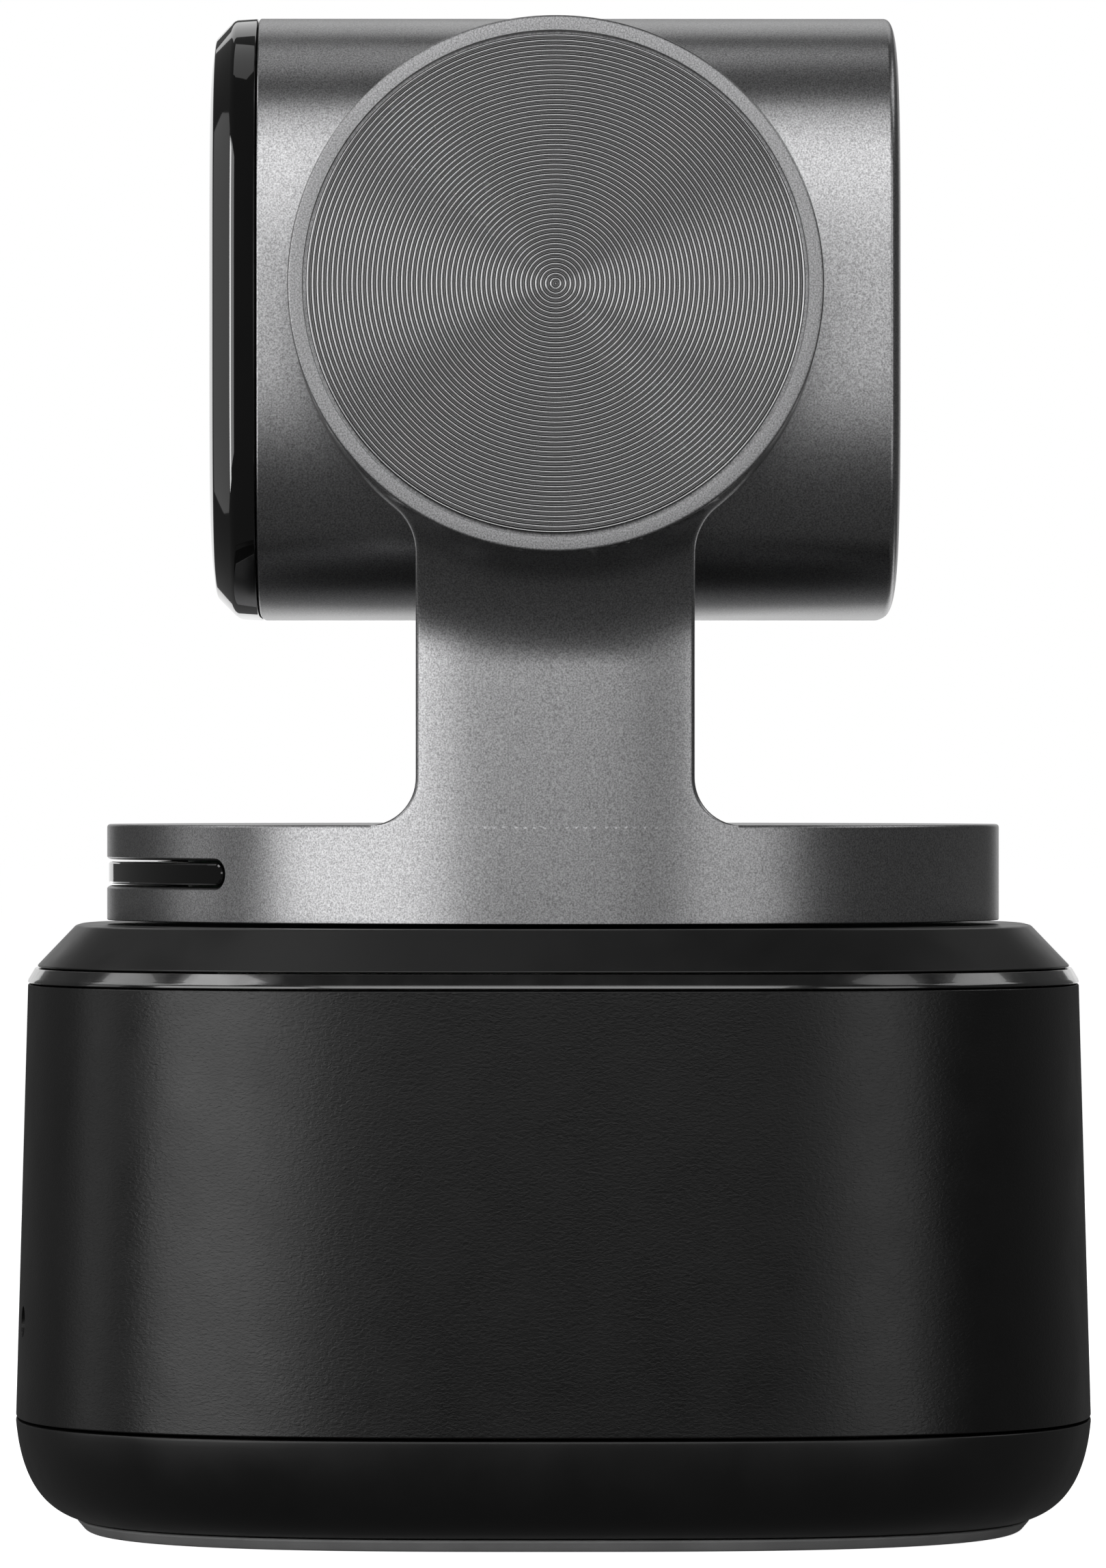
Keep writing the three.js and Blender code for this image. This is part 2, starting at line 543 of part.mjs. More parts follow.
// The cable's way from the turntable's hollow up the arm, and the seat of the cover over it.
function cableChannel() {
  const { half, inner, outer, bottom, top, web, lap, drop } = DUCT;
  const passHalf = CABLE.half + CABLE.room;
  return [
    box([inner, -half, ARM_COVER.bottom + lap], [outer, half, top]),
    box([web, -half, TURNTABLE.ceiling - REACH], [outer, half, ARM_COVER.bottom + REACH]),
    box([TURNTABLE.recess - 2 * REACH, -half, bottom], [outer, half, TURNTABLE.ceiling]),
    box([inner, -passHalf, top - drop], [CAVITY.x + REACH, passHalf, top + REACH]),
    box(
      [ARM_INNER_X - REACH, -ARM_COVER.half - SEAT_GAP, ARM_COVER.bottom - SEAT_GAP],
      [ARM_COVER.outer + SEAT_GAP, ARM_COVER.half + SEAT_GAP, ARM_COVER.top + SEAT_GAP],
    ),
  ];
}

// The cap's seat, the tilt motor's cavity and the bearing's seat.
function housingRooms() {
  return [
    discX(CAP_SEAT.radius, CAP_SEAT.x, HOUSING.faceX + REACH, OUTER_SEGMENTS),
    discX(CAVITY.radius, CAVITY.x, CAP_SEAT.x + REACH / 2),
    discX(TILT_BEARING.seat, ARM_INNER_X - REACH, CAVITY.x + REACH),
  ].map((room) => room.translate(0, 0, TILT_Z));
}

function turntableArm() {
  const neck = common(alongX(neckOutline(), ARM_INNER_X, HOUSING.faceX), outwardSide());
  const bosses = ringOfThree(TURNTABLE_SCREW.ring, (x, y) => (
    discZ(TURNTABLE_BOSS.radius, TURNTABLE_BOSS.bottom, TURNTABLE.ceiling + REACH / 2, SCREW_SEGMENTS)
      .translate(x, y, 0)
  ));
  const bossBores = ringOfThree(TURNTABLE_SCREW.ring, (x, y) => (
    discZ(TURNTABLE_BOSS.bore, TURNTABLE_BOSS.bottom - REACH, TURNTABLE_BOSS.boreTop, SCREW_SEGMENTS)
      .translate(x, y, 0)
  ));
  const slot = roundEndedBar(SLOT.depth, TURNTABLE.radius + REACH, SLOT.z, SLOT.height, SLOT.halfAngle);
  const metal = join(turntableDisc(), neck, armHousing(), footWeb(), ...bosses);
  return cut(metal, ...bossBores, ...cableChannel(), ...housingRooms(), slot);
}

const statusWindow = () => (
  roundEndedBar(WINDOW.inner, WINDOW.outer, SLOT.z, WINDOW.height, WINDOW.halfAngle)
);

const ledBoard = () => (
  arcBar(LED_BOARD.inner, LED_BOARD.outer, LED_BOARD.bottom, LED_BOARD.top, LED_BOARD.halfAngle)
);

function turntablePlate() {
  const { radius, bottom, top, hole } = TURNTABLE_PLATE;
  const screwRooms = ringOfThree(TURNTABLE_SCREW.ring, (x, y) => join(
    discZ(TURNTABLE_BOSS.pocket, bottom - REACH, TURNTABLE_BOSS.pocketTop, SCREW_SEGMENTS),
    discZ(TURNTABLE_BOSS.bore, bottom, top + REACH, SCREW_SEGMENTS),
  ).translate(x, y, 0));
  return cut(ringZ(hole, radius, bottom, top), ...screwRooms);
}

const turntableScrew = (x, y) => standing(screw({
  head: TURNTABLE_SCREW.head,
  headHeight: TURNTABLE_SCREW.headTop - TURNTABLE_SCREW.bottom,
  shank: TURNTABLE_SCREW.shank,
  length: TURNTABLE_SCREW.tip - TURNTABLE_SCREW.bottom,
})).translate(x, y, TURNTABLE_SCREW.bottom);

const panShaft = () => standing(turned(closeUp([
  [SHAFT.bore, SHAFT.bottom], [SHAFT.radius, SHAFT.bottom], [SHAFT.radius, SHAFT.flangeBottom],
  [SHAFT.flange, SHAFT.flangeBottom], [SHAFT.flange, SHAFT.top], [SHAFT.bore, SHAFT.top],
])));

const discCap = () => lying(turned([
  [0, DISC_CAP.inner], [DISC_CAP.radius, DISC_CAP.inner], [DISC_CAP.radius, DISC_CAP.outer - DISC_CAP.bevel],
  [DISC_CAP.radius - DISC_CAP.bevel, DISC_CAP.outer], [0, DISC_CAP.outer],
], OUTER_SEGMENTS)).translate(0, 0, TILT_Z);

const tiltRing = ({ inner, outer, start, end }) => ringX(inner, outer, start, end).translate(0, 0, TILT_Z);

const tiltBearing = () => tiltRing({
  inner: TILT_SHAFT.radius + RUNNING_CLEARANCE,
  outer: TILT_BEARING.outer,
  start: TILT_BEARING.inner,
  end: TILT_BEARING.end,
});

const armInnerCover = () => (
  box([ARM_COVER.inner, -ARM_COVER.half, ARM_COVER.bottom], [ARM_COVER.outer, ARM_COVER.half, ARM_COVER.top])
);

// A flat cable that runs from the turntable's hollow up the duct and into the tilt motor's cavity.
function armFlexCable() {
  const { half, thickness, x, inner, outer, bottom, top } = CABLE;
  return alongY(polygon([
    [inner, bottom], [x + thickness, bottom], [x + thickness, top - thickness], [outer, top - thickness],
    [outer, top], [x, top], [x, bottom + thickness], [inner, bottom + thickness],
  ]), -half, half);
}

// ---- Head -------------------------------------------------------------------------------------------------

function headShell() {
  const inner = HEAD.halfHeight - HEAD.wall;
  const { front, back, innerBack, innerCorner, shaftHole } = HEAD_SHELL;
  const profile = [
    [0, innerBack], [inner - innerCorner, innerBack], [inner, innerBack - innerCorner], [inner, front],
    [HEAD.halfHeight, front],
    ...HEAD_BACK_EDGE.map(([inward, forward]) => [HEAD.halfHeight - inward, back - forward]),
    [0, back],
  ];
  const hole = discX(shaftHole, HEAD.halfHeight, HEAD.halfWidth + REACH).translate(0, 0, TILT_Z);
  return cut(headForm(profile), hole);
}

const frontBezel = () => headForm(closeUp([
  [BEZEL.opening, PANEL.front],
  ...BEZEL_EDGE.map(([inward, y]) => [HEAD.halfHeight - inward, y]),
  [HEAD.halfHeight, BEZEL.back], [BEZEL.rabbet, BEZEL.back],
  [BEZEL.rabbet, BEZEL.ledge], [BEZEL.opening, BEZEL.ledge],
]));

const frontPanel = () => headForm(closeUp([
  [PANEL.lensHole, PANEL.crown], [PANEL.half, PANEL.front], [PANEL.half, PANEL.back],
  [PANEL.lensHole, PANEL.back],
]), PANEL.lensHole + REACH);

const onLensAxis = (geometry) => geometry.translate(0, 0, HEAD.z);

const headBlock = ({ width, height, front, back }) => block(width, height, front, back, HEAD.z);

const lensWindow = () => onLensAxis(
  discY(LENS_WINDOW.radius, LENS_WINDOW.front, LENS_WINDOW.back, OUTER_SEGMENTS),
);

function lensHood() {
  const { outer, front, back, mouth, throat, steps } = HOOD;
  const profile = [[outer, front], [outer, back]];
  for (let i = 0; i < steps; i += 1) {
    const radius = throat + (mouth - throat) * (i / (steps - 1));
    profile.push(
      [radius, back + (front - back) * (i / steps)],
      [radius, back + (front - back) * ((i + 1) / steps)],
    );
  }
  return onLensAxis(turned(closeUp(profile), INNER_SEGMENTS));
}

function lensHousing() {
  const { side, front, back, bore, boreEnd } = LENS_HOUSING;
  const body = block(side, side, front, back, HEAD.z);
  const barrelRoom = onLensAxis(discY(bore, front - REACH, boreEnd));
  const sensorRoom = block(
    SENSOR_OPENING.width, SENSOR_OPENING.height, boreEnd - REACH, back + REACH, HEAD.z,
  );
  const threads = atCorners(BOARD_SCREW.offset, (x, z) => onLensAxis(
    discY(BOARD_SCREW.thread, BOARD_THREAD_END, back + REACH, SCREW_SEGMENTS).translate(x, 0, z),
  ));
  return cut(body, barrelRoom, sensorRoom, ...threads);
}

// A lens with both faces bulging, about +Y.
function lensElement([front, back]) {
  const { radius, bulge, steps } = LENS_ELEMENT;
  const face = (level, direction) => Array.from({ length: steps + 1 }, (_, i) => {
    const across = radius * (i / steps);
    return [across, level + direction * bulge * (1 - (across / radius) ** 2)];
  });
  return onLensAxis(turned([...face(front, -1), ...face(back, 1).reverse()]));
}

const lensRing = ({ inner, outer, front, back }) => onLensAxis(ringY(inner, outer, front, back));

function screwedPlate(plate) {
  const holes = atCorners(BOARD_SCREW.offset, (x, z) => onLensAxis(
    discY(BOARD_SCREW.hole, plate.front - REACH, plate.back + REACH, SCREW_SEGMENTS).translate(x, 0, z),
  ));
  return cut(headBlock(plate), ...holes);
}

function boardScrew(x, z) {
  const geometry = screw({
    head: BOARD_SCREW.head,
    headHeight: BOARD_SCREW.headBack - HEAT_SPREADER.back - SEAT_GAP,
    shank: BOARD_SCREW.shank,
    length: BOARD_SCREW.headBack - BOARD_SCREW.tip,
  });
  return geometry.rotateX(Math.PI).translate(x, BOARD_SCREW.headBack, HEAD.z + z);
}

const tiltShaft = () => lying(turned(closeUp([
  [TILT_SHAFT.bore, TILT_SHAFT.start], [TILT_SHAFT.radius, TILT_SHAFT.start],
  [TILT_SHAFT.radius, TILT_FLANGE.start], [TILT_FLANGE.radius, TILT_FLANGE.start],
  [TILT_FLANGE.radius, TILT_FLANGE.end], [TILT_SHAFT.radius, TILT_FLANGE.end],
  [TILT_SHAFT.radius, TILT_SHAFT.end], [TILT_SHAFT.bore, TILT_SHAFT.end],
]))).translate(0, 0, TILT_Z);

// ---- Assembly ---------------------------------------------------------------------------------------------

function piece(name, geometry, finish) {
  const mesh = new THREE.Mesh(closedForm(geometry), new THREE.MeshStandardMaterial(FINISH[finish]));
  mesh.name = name;
  return mesh;
}

const numbered = (name, geometries) => (
  geometries.map((geometry, i) => piece(`${name}_${i + 1}`, geometry, 'steel'))
);

// A group at its turning or sliding point, given in the whole object's frame like the pieces' geometry.
function assembly(pivot, parentPivot, pieces) {
  const group = new THREE.Group();
  group.position.subVectors(pivot, parentPivot);
  for (const mesh of pieces) {
    mesh.geometry.translate(-pivot.x, -pivot.y, -pivot.z);
    group.add(mesh);
  }
  return group;
}

const basePieces = [
  piece('foot_pad', footPad(), 'rubber'),
  piece('bottom_cup', bottomCup(), 'satinBlack'),
  piece('base_shell', baseShell(), 'grainBlack'),
  piece('trim_ring', trimRing(), 'glossBlack'),
  piece('top_cover', topCover(), 'satinBlack'),
  piece('base_plate', basePlate(), 'steel'),
  piece('tripod_insert', tripodInsert(), 'brass'),
  piece('base_frame', baseFrame(), 'castMetal'),
  piece('motor_plate', motorPlate(), 'steel'),
  piece('pan_motor_stator', motorRing(PAN_STATOR), 'copper'),
  piece('pan_bearing_upper', panBearing(PAN_BEARING.upper, PAN_BEARING.upperOuter), 'steel'),
  piece('pan_bearing_lower', panBearing(PAN_BEARING.lower, PAN_BEARING.lowerOuter), 'steel'),
  piece('main_board', mainBoard(), 'circuit'),
  piece('processor_chip', boardPiece(CHIP), 'chip'),
  piece('board_connector', boardPiece(CONNECTOR), 'matteBlack'),
  piece('usb_c_receptacle', usbSocket(), 'steel'),
  piece('usb_c_tongue', usbTongue(), 'matteBlack'),
  piece('mic_capsule_right', micCapsule(1), 'matteBlack'),
  piece('mic_capsule_left', micCapsule(-1), 'matteBlack'),
  ...numbered('base_screw', atCorners(POST.offset, baseScrew)),
];

const panPieces = [
  piece('turntable_arm', turntableArm(), 'anodised'),
  piece('status_window', statusWindow(), 'glossBlack'),
  piece('led_board', ledBoard(), 'circuit'),
  piece('turntable_plate', turntablePlate(), 'steel'),
  piece('pan_shaft', panShaft(), 'steel'),
  piece('pan_rotor', motorRing(PAN_ROTOR), 'magnet'),
  piece('disc_cap', discCap(), 'ridged'),
  piece('tilt_motor_stator', tiltRing(TILT_STATOR), 'copper'),
  piece('tilt_bearing', tiltBearing(), 'steel'),
  piece('arm_flex_cable', armFlexCable(), 'flexFilm'),
  piece('arm_inner_cover', armInnerCover(), 'satinBlack'),
  ...numbered('turntable_screw', ringOfThree(TURNTABLE_SCREW.ring, turntableScrew)),
];

const headPieces = [
  piece('head_shell', headShell(), 'anodised'),
  piece('front_bezel', frontBezel(), 'glossBlack'),
  piece('front_panel', frontPanel(), 'glossBlack'),
  piece('lens_window', lensWindow(), 'glass'),
  piece('lens_hood', lensHood(), 'matteBlack'),
  piece('lens_housing', lensHousing(), 'matteBlack'),
  piece('focus_magnet_ring', lensRing(MAGNET), 'magnet'),
  piece('ir_filter', headBlock(IR_FILTER), 'glass'),
  piece('image_sensor', headBlock(SENSOR), 'chip'),
  piece('sensor_board', screwedPlate(SENSOR_BOARD), 'circuit'),
  piece('heat_spreader', screwedPlate(HEAT_SPREADER), 'castMetal'),
  piece('tilt_shaft', tiltShaft(), 'steel'),
  piece('tilt_rotor', tiltRing(TILT_ROTOR), 'magnet'),
  ...numbered('board_screw', atCorners(BOARD_SCREW.offset, boardScrew)),
];

const focusPieces = [
  piece('lens_barrel', lensRing(LENS_BARREL), 'matteBlack'),
  piece('lens_element_front', lensElement(LENS_ELEMENT.front), 'glass'),
  piece('lens_element_rear', lensElement(LENS_ELEMENT.rear), 'glass'),
  piece('focus_coil', lensRing(FOCUS_COIL), 'copper'),
];

const origin = new THREE.Vector3();
const panPivot = new THREE.Vector3(0, 0, TURNTABLE.bottom);
const tiltPivot = new THREE.Vector3(0, 0, TILT_Z);
const focusPivot = new THREE.Vector3(0, LENS_BARREL.back, HEAD.z);

const camera = assembly(origin, origin, basePieces);
const turntable = assembly(panPivot, origin, panPieces);
const head = assembly(tiltPivot, panPivot, headPieces);
const lensGroup = assembly(focusPivot, tiltPivot, focusPieces);
camera.add(turntable);
turntable.add(head);
head.add(lensGroup);

export default camera;
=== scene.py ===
import json
import math

import bmesh
import bpy
from mathutils import Matrix, Vector


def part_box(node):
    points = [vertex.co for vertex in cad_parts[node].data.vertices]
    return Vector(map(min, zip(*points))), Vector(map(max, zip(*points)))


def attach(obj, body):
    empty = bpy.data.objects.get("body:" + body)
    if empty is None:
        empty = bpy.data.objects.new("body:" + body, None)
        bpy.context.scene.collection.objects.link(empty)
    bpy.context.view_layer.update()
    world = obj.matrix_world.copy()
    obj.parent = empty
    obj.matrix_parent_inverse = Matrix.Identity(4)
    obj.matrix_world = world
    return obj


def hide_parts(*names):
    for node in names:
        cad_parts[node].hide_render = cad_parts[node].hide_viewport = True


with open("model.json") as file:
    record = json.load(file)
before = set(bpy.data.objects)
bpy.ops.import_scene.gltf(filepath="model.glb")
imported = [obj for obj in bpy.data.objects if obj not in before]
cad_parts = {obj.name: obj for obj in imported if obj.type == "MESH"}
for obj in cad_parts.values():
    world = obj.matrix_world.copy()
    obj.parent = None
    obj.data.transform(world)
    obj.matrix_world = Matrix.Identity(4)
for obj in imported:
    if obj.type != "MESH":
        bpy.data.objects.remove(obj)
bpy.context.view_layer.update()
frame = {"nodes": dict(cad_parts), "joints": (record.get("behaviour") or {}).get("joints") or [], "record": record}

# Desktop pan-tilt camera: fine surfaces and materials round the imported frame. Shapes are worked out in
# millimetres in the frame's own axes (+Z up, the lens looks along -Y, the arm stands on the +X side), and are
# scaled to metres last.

MM = 0.001

SEGMENTS = 288  # round the covers, the turntable and the head
SMALL_SEGMENTS = 64
ARC_STEPS = 5  # facets in each rounded edge
SMOOTH_ANGLE = math.radians(28)
RIDGE_SMOOTH_ANGLE = math.radians(70)
PLAN_EXPONENT = 3.0  # superellipse of the base's rounded-square plan
HEAD_EXPONENT = 4.0  # superellipse of the head's section


def extent(node):
    """A CAD node's lowest and highest corners, in millimetres."""
    low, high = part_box(node)
    return low / MM, high / MM


TILT = Vector(next(j for j in frame["joints"] if j["name"] == "tilt")["pos_m"]) / MM
CAP_RADIUS = extent("disc_cap")[1].y
CAP_RIM, CAP_RIDGES = 0.15, 50  # width of the cap's rim, and the number of ridges with the rim as the last
RIDGE_PITCH = (CAP_RADIUS - CAP_RIM / 2) / CAP_RIDGES


# ---- Curves and profiles -------------------------------------------------------------------------

def circle(angle, radius):
    return radius * math.cos(angle), radius * math.sin(angle)


def superellipse(exponent, width_ratio=1.0, round_below=0.0):
    """A plan that carries a radius to a rounded square, and leaves what lies near the axis round."""
    def plan(angle, radius):
        c, s = math.cos(angle), math.sin(angle)
        if radius <= round_below:
            return radius * c, radius * s
        stretch = (abs(c) ** exponent + abs(s) ** exponent) ** (-1 / exponent)
        return radius * c * stretch * width_ratio, radius * s * stretch
    return plan


def rounded(points, closed=True, steps=ARC_STEPS):
    """Replaces each corner (u, v, radius) of an outline with an arc. One without a radius stays sharp."""
    result = []
    count = len(points)
    for i, (u, v, *fillet) in enumerate(points):
        at_end = not closed and i in (0, count - 1)
        if not fillet or at_end:
            result.append((u, v))
            continue
        corner = Vector((u, v))
        back = Vector(points[i - 1][:2]) - corner
        ahead = Vector(points[(i + 1) % count][:2]) - corner
        half = back.angle(ahead) / 2
        reach = min(fillet[0] / math.tan(half), back.length * 0.49, ahead.length * 0.49)
        back.normalize()
        ahead.normalize()
        centre = corner + (back + ahead).normalized() * (reach / math.cos(half))
        first, last = corner + back * reach - centre, corner + ahead * reach - centre
        sweep = first.angle(last)
        for k in range(steps + 1):
            t = k / steps
            spoke = (first * math.sin((1 - t) * sweep) + last * math.sin(t * sweep)) / math.sin(sweep)
            result.append(tuple(centre + spoke))
    return result


def bezier(points, steps):
    """Points along a cubic Bezier curve with the given four control points."""
    a, b, c, d = (Vector(p) for p in points)
    curve = []
    for k in range(steps + 1):
        t = k / steps
        s = 1 - t
        curve.append(tuple(a * s ** 3 + b * (3 * s * s * t) + c * (3 * s * t * t) + d * t ** 3))
    return curve


# ---- Meshes --------------------------------------------------------------------------------------

AXES = {
    "X": lambda u, v, h: (h, u, v),
    "Y": lambda u, v, h: (u, h, v),
    "Z": lambda u, v, h: (u, v, h),
}


def turned(profile, axis="Z", plan=circle, segments=SEGMENTS, centre=(0, 0, 0)):
    """Skins (radius, height) points carried round an axis. They end on the axis or close on themselves."""
    place = AXES[axis]
    middle = Vector(centre)
    verts, rows = [], []
    for radius, height in profile:
        if radius <= 0:
            rows.append([len(verts)] * segments)
            verts.append(Vector(place(0, 0, height)) + middle)
            continue
        rows.append(range(len(verts), len(verts) + segments))
        for i in range(segments):
            u, v = plan(2 * math.pi * i / segments, radius)
            verts.append(Vector(place(u, v, height)) + middle)
    closed = profile[0][0] > 0
    faces = []
    for k in range(len(rows) if closed else len(rows) - 1):
        low, high = rows[k], rows[(k + 1) % len(rows)]
        for i in range(segments):
            j = (i + 1) % segments
            face = [low[i], low[j], high[j], high[i]]
            faces.append(list(dict.fromkeys(face)))
    return verts, faces


def lofted(sections):
    """Skins a row of closed loops with the same number of points, and caps both ends."""
    count = len(sections[0])
    verts = [Vector(point) for section in sections for point in section]
    faces = []
    for row in range(len(sections) - 1):
        for i in range(count):
            j = (i + 1) % count
            a, b = row * count, (row + 1) * count
            faces.append([a + i, a + j, b + j, b + i])
    faces.append(list(range(count)))
    faces.append(list(range((len(sections) - 1) * count, len(sections) * count)))
    return verts, faces


def solid(name, shape):
    """An object, still in millimetres, with its faces turned outward."""
    mesh = bpy.data.meshes.new(name)
    mesh.from_pydata(shape[0], [], shape[1])
    work = bmesh.new()
    work.from_mesh(mesh)
    bmesh.ops.remove_doubles(work, verts=work.verts, dist=1e-5)
    bmesh.ops.recalc_face_normals(work, faces=work.faces)
    work.to_mesh(mesh)
    work.free()
    piece = bpy.data.objects.new(name, mesh)
    bpy.context.scene.collection.objects.link(piece)
    return piece


def combine(piece, operation, *tools):
    """Joins other solids to a piece, or cuts them from it, and removes them."""
    for tool in tools:
        modifier = piece.modifiers.new("combine", "BOOLEAN")
        modifier.object = tool
        modifier.operation = operation
        modifier.solver = "EXACT"
        graph = bpy.context.evaluated_depsgraph_get()
        mesh = bpy.data.meshes.new_from_object(piece.evaluated_get(graph))
        piece.modifiers.clear()
        piece.data = mesh
        bpy.data.objects.remove(tool)
    return piece


def dress(piece, material, body, nodes, smooth_angle):
    """Scales a finished solid to metres. Gives it its material and its body, and hides the CAD nodes it stands
    for.
    """
    piece.data.transform(Matrix.Scale(MM, 4))
    piece.data.materials.clear()
    piece.data.materials.append(material)
    for face in piece.data.polygons:
        face.use_smooth = True
    piece.data.set_sharp_from_angle(angle=smooth_angle)
    weighting = piece.modifiers.new("even_normals", "WEIGHTED_NORMAL")
    weighting.keep_sharp = True
    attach(piece, body)
    if nodes:
        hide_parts(*nodes)
    return piece


# ---- Materials -----------------------------------------------------------------------------------

def new_material(name, color, roughness, metallic=0.0):
    material = bpy.data.materials.new(name)
    material.use_nodes = True
    shader = material.node_tree.nodes["Principled BSDF"]
    shader.inputs["Base Color"].default_value = (*color, 1.0)
    shader.inputs["Roughness"].default_value = roughness
    shader.inputs["Metallic"].default_value = metallic
    return material, shader


class Pattern:
    """Adds procedural detail to one material, in the object's own coordinates (metres)."""

    def __init__(self, material, shader):
        self.tree = material.node_tree
        self.shader = shader
        self.place = self.tree.nodes.new("ShaderNodeTexCoord").outputs["Object"]
        self.normal = None

    def stretched(self, scale):
        mapping = self.tree.nodes.new("ShaderNodeMapping")
        mapping.inputs["Scale"].default_value = scale
        self.tree.links.new(self.place, mapping.inputs["Vector"])
        return mapping.outputs["Vector"]

    def noise(self, size_mm, detail=2.0, rough=0.55, scale=(1, 1, 1), distortion=0.0):
        node = self.tree.nodes.new("ShaderNodeTexNoise")
        node.inputs["Scale"].default_value = 1 / (size_mm * MM)
        node.inputs["Detail"].default_value = detail
        node.inputs["Roughness"].default_value = rough
        node.inputs["Distortion"].default_value = distortion
        self.tree.links.new(self.stretched(scale), node.inputs["Vector"])
        return node.outputs["Fac"]

    def cells(self, size_mm, scale=(1, 1, 1)):
        node = self.tree.nodes.new("ShaderNodeTexVoronoi")
        node.feature = "SMOOTH_F1"
        node.inputs["Scale"].default_value = 1 / (size_mm * MM)
        self.tree.links.new(self.stretched(scale), node.inputs["Vector"])
        return node.outputs["Distance"]

    def ramp(self, value, low, high, dark, light):
        """Carries a value between low and high to a colour between dark and light."""
        node = self.tree.nodes.new("ShaderNodeValToRGB")
        start, end = node.color_ramp.elements
        start.position, end.position = low, high
        start.color, end.color = (*dark, 1.0), (*light, 1.0)
        self.tree.links.new(value, node.inputs["Fac"])
        return node.outputs["Color"]

    def colour(self, value, low, high, dark, light):
        self.tree.links.new(self.ramp(value, low, high, dark, light), self.shader.inputs["Base Color"])

    def rougher_beyond(self, x_mm, more):
        """Adds to the roughness on what lies further out along X than a plane."""
        split = self.tree.nodes.new("ShaderNodeSeparateXYZ")
        self.tree.links.new(self.place, split.inputs["Vector"])
        step = self.tree.nodes.new("ShaderNodeMapRange")
        step.inputs["From Min"].default_value = (x_mm - 0.03) * MM
        step.inputs["From Max"].default_value = x_mm * MM
        step.inputs["To Max"].default_value = more
        self.tree.links.new(split.outputs["X"], step.inputs["Value"])
        total = self.tree.nodes.new("ShaderNodeMath")
        socket = self.shader.inputs["Roughness"]
        self.tree.links.new(socket.links[0].from_socket, total.inputs[0])
        self.tree.links.new(step.outputs["Result"], total.inputs[1])
        self.tree.links.new(total.outputs["Value"], socket)

    def roughness(self, value, low, high):
        node = self.tree.nodes.new("ShaderNodeMapRange")
        node.inputs["To Min"].default_value = low
        node.inputs["To Max"].default_value = high
        node.inputs["From Min"].default_value = 0.3
        node.inputs["From Max"].default_value = 0.7
        self.tree.links.new(value, node.inputs["Value"])
        self.tree.links.new(node.outputs["Result"], self.shader.inputs["Roughness"])

    def bump(self, value, height_mm, strength=1.0):
        node = self.tree.nodes.new("ShaderNodeBump")
        node.inputs["Strength"].default_value = strength
        node.inputs["Distance"].default_value = height_mm * MM
        self.tree.links.new(value, node.inputs["Height"])
        if self.normal is not None:
            self.tree.links.new(self.normal, node.inputs["Normal"])
        self.normal = node.outputs["Normal"]
        self.tree.links.new(self.normal, self.shader.inputs["Normal"])


def grey(value, tint=0.0):
    return (value, value, value * (1 + tint))


def blasted_metal(name, dark, light, low_rough, high_rough, face_x, grain_mm=0.075):
    """Bead-blasted, anodised metal with a fine sparkling grain, and duller on the flat face at one X."""
    material, shader = new_material(name, grey(light), high_rough, 1.0)
    pattern = Pattern(material, shader)
    grain = pattern.noise(grain_mm, detail=3, rough=0.7)
    pattern.colour(grain, 0.34, 0.66, grey(dark, 0.015), grey(light, 0.015))
    pattern.roughness(pattern.noise(8.0, detail=1), low_rough, high_rough)
    pattern.rougher_beyond(face_x - 0.01, 0.2)
    pattern.bump(grain, 0.008, 0.3)
    return material


def moulded_plastic(name, tone, rough, grain_mm, height_mm, strength, stretch=(1, 1, 1), shine=0.5):
    """Dull moulded plastic with an etched texture and a slight unevenness of sheen."""
    material, shader = new_material(name, grey(tone), rough)
    shader.inputs["Specular IOR Level"].default_value = shine
    pattern = Pattern(material, shader)
    cloud = pattern.noise(3.0, detail=4)
    pattern.colour(cloud, 0.3, 0.7, grey(tone * 0.88), grey(tone * 1.12))
    pattern.roughness(cloud, rough - 0.04, rough + 0.04)
    grain = pattern.noise(grain_mm, detail=3, rough=0.6, scale=stretch, distortion=0.6)
    pattern.bump(grain, height_mm, strength)
    return material


def polished_black(name, tone, rough=0.05, shine=0.5):
    """Polished black plastic, with the faint waviness of a moulding."""
    material, shader = new_material(name, grey(tone), rough)
    pattern = Pattern(material, shader)
    pattern.colour(pattern.noise(4.0), 0.3, 0.7, grey(tone * 0.8), grey(tone * 1.2))
    pattern.roughness(pattern.noise(1.2, detail=4), rough * 0.7, rough * 1.5)
    pattern.bump(pattern.noise(6.0, detail=1), 0.01, 0.08)
    shader.inputs["Specular IOR Level"].default_value = shine
    shader.inputs["Coat Weight"].default_value = 0.6
    shader.inputs["Coat Roughness"].default_value = 0.03
    return material


def plain_metal(name, dark, light, rough, stretch=(1, 1, 1), grain_mm=0.12):
    material, shader = new_material(name, light, rough, 1.0)
    pattern = Pattern(material, shader)
    grain = pattern.noise(grain_mm, detail=3, rough=0.65, scale=stretch)
    pattern.colour(grain, 0.3, 0.7, dark, light)
    pattern.roughness(grain, rough - 0.05, rough + 0.08)
    pattern.bump(grain, 0.008, 0.35)
    return material


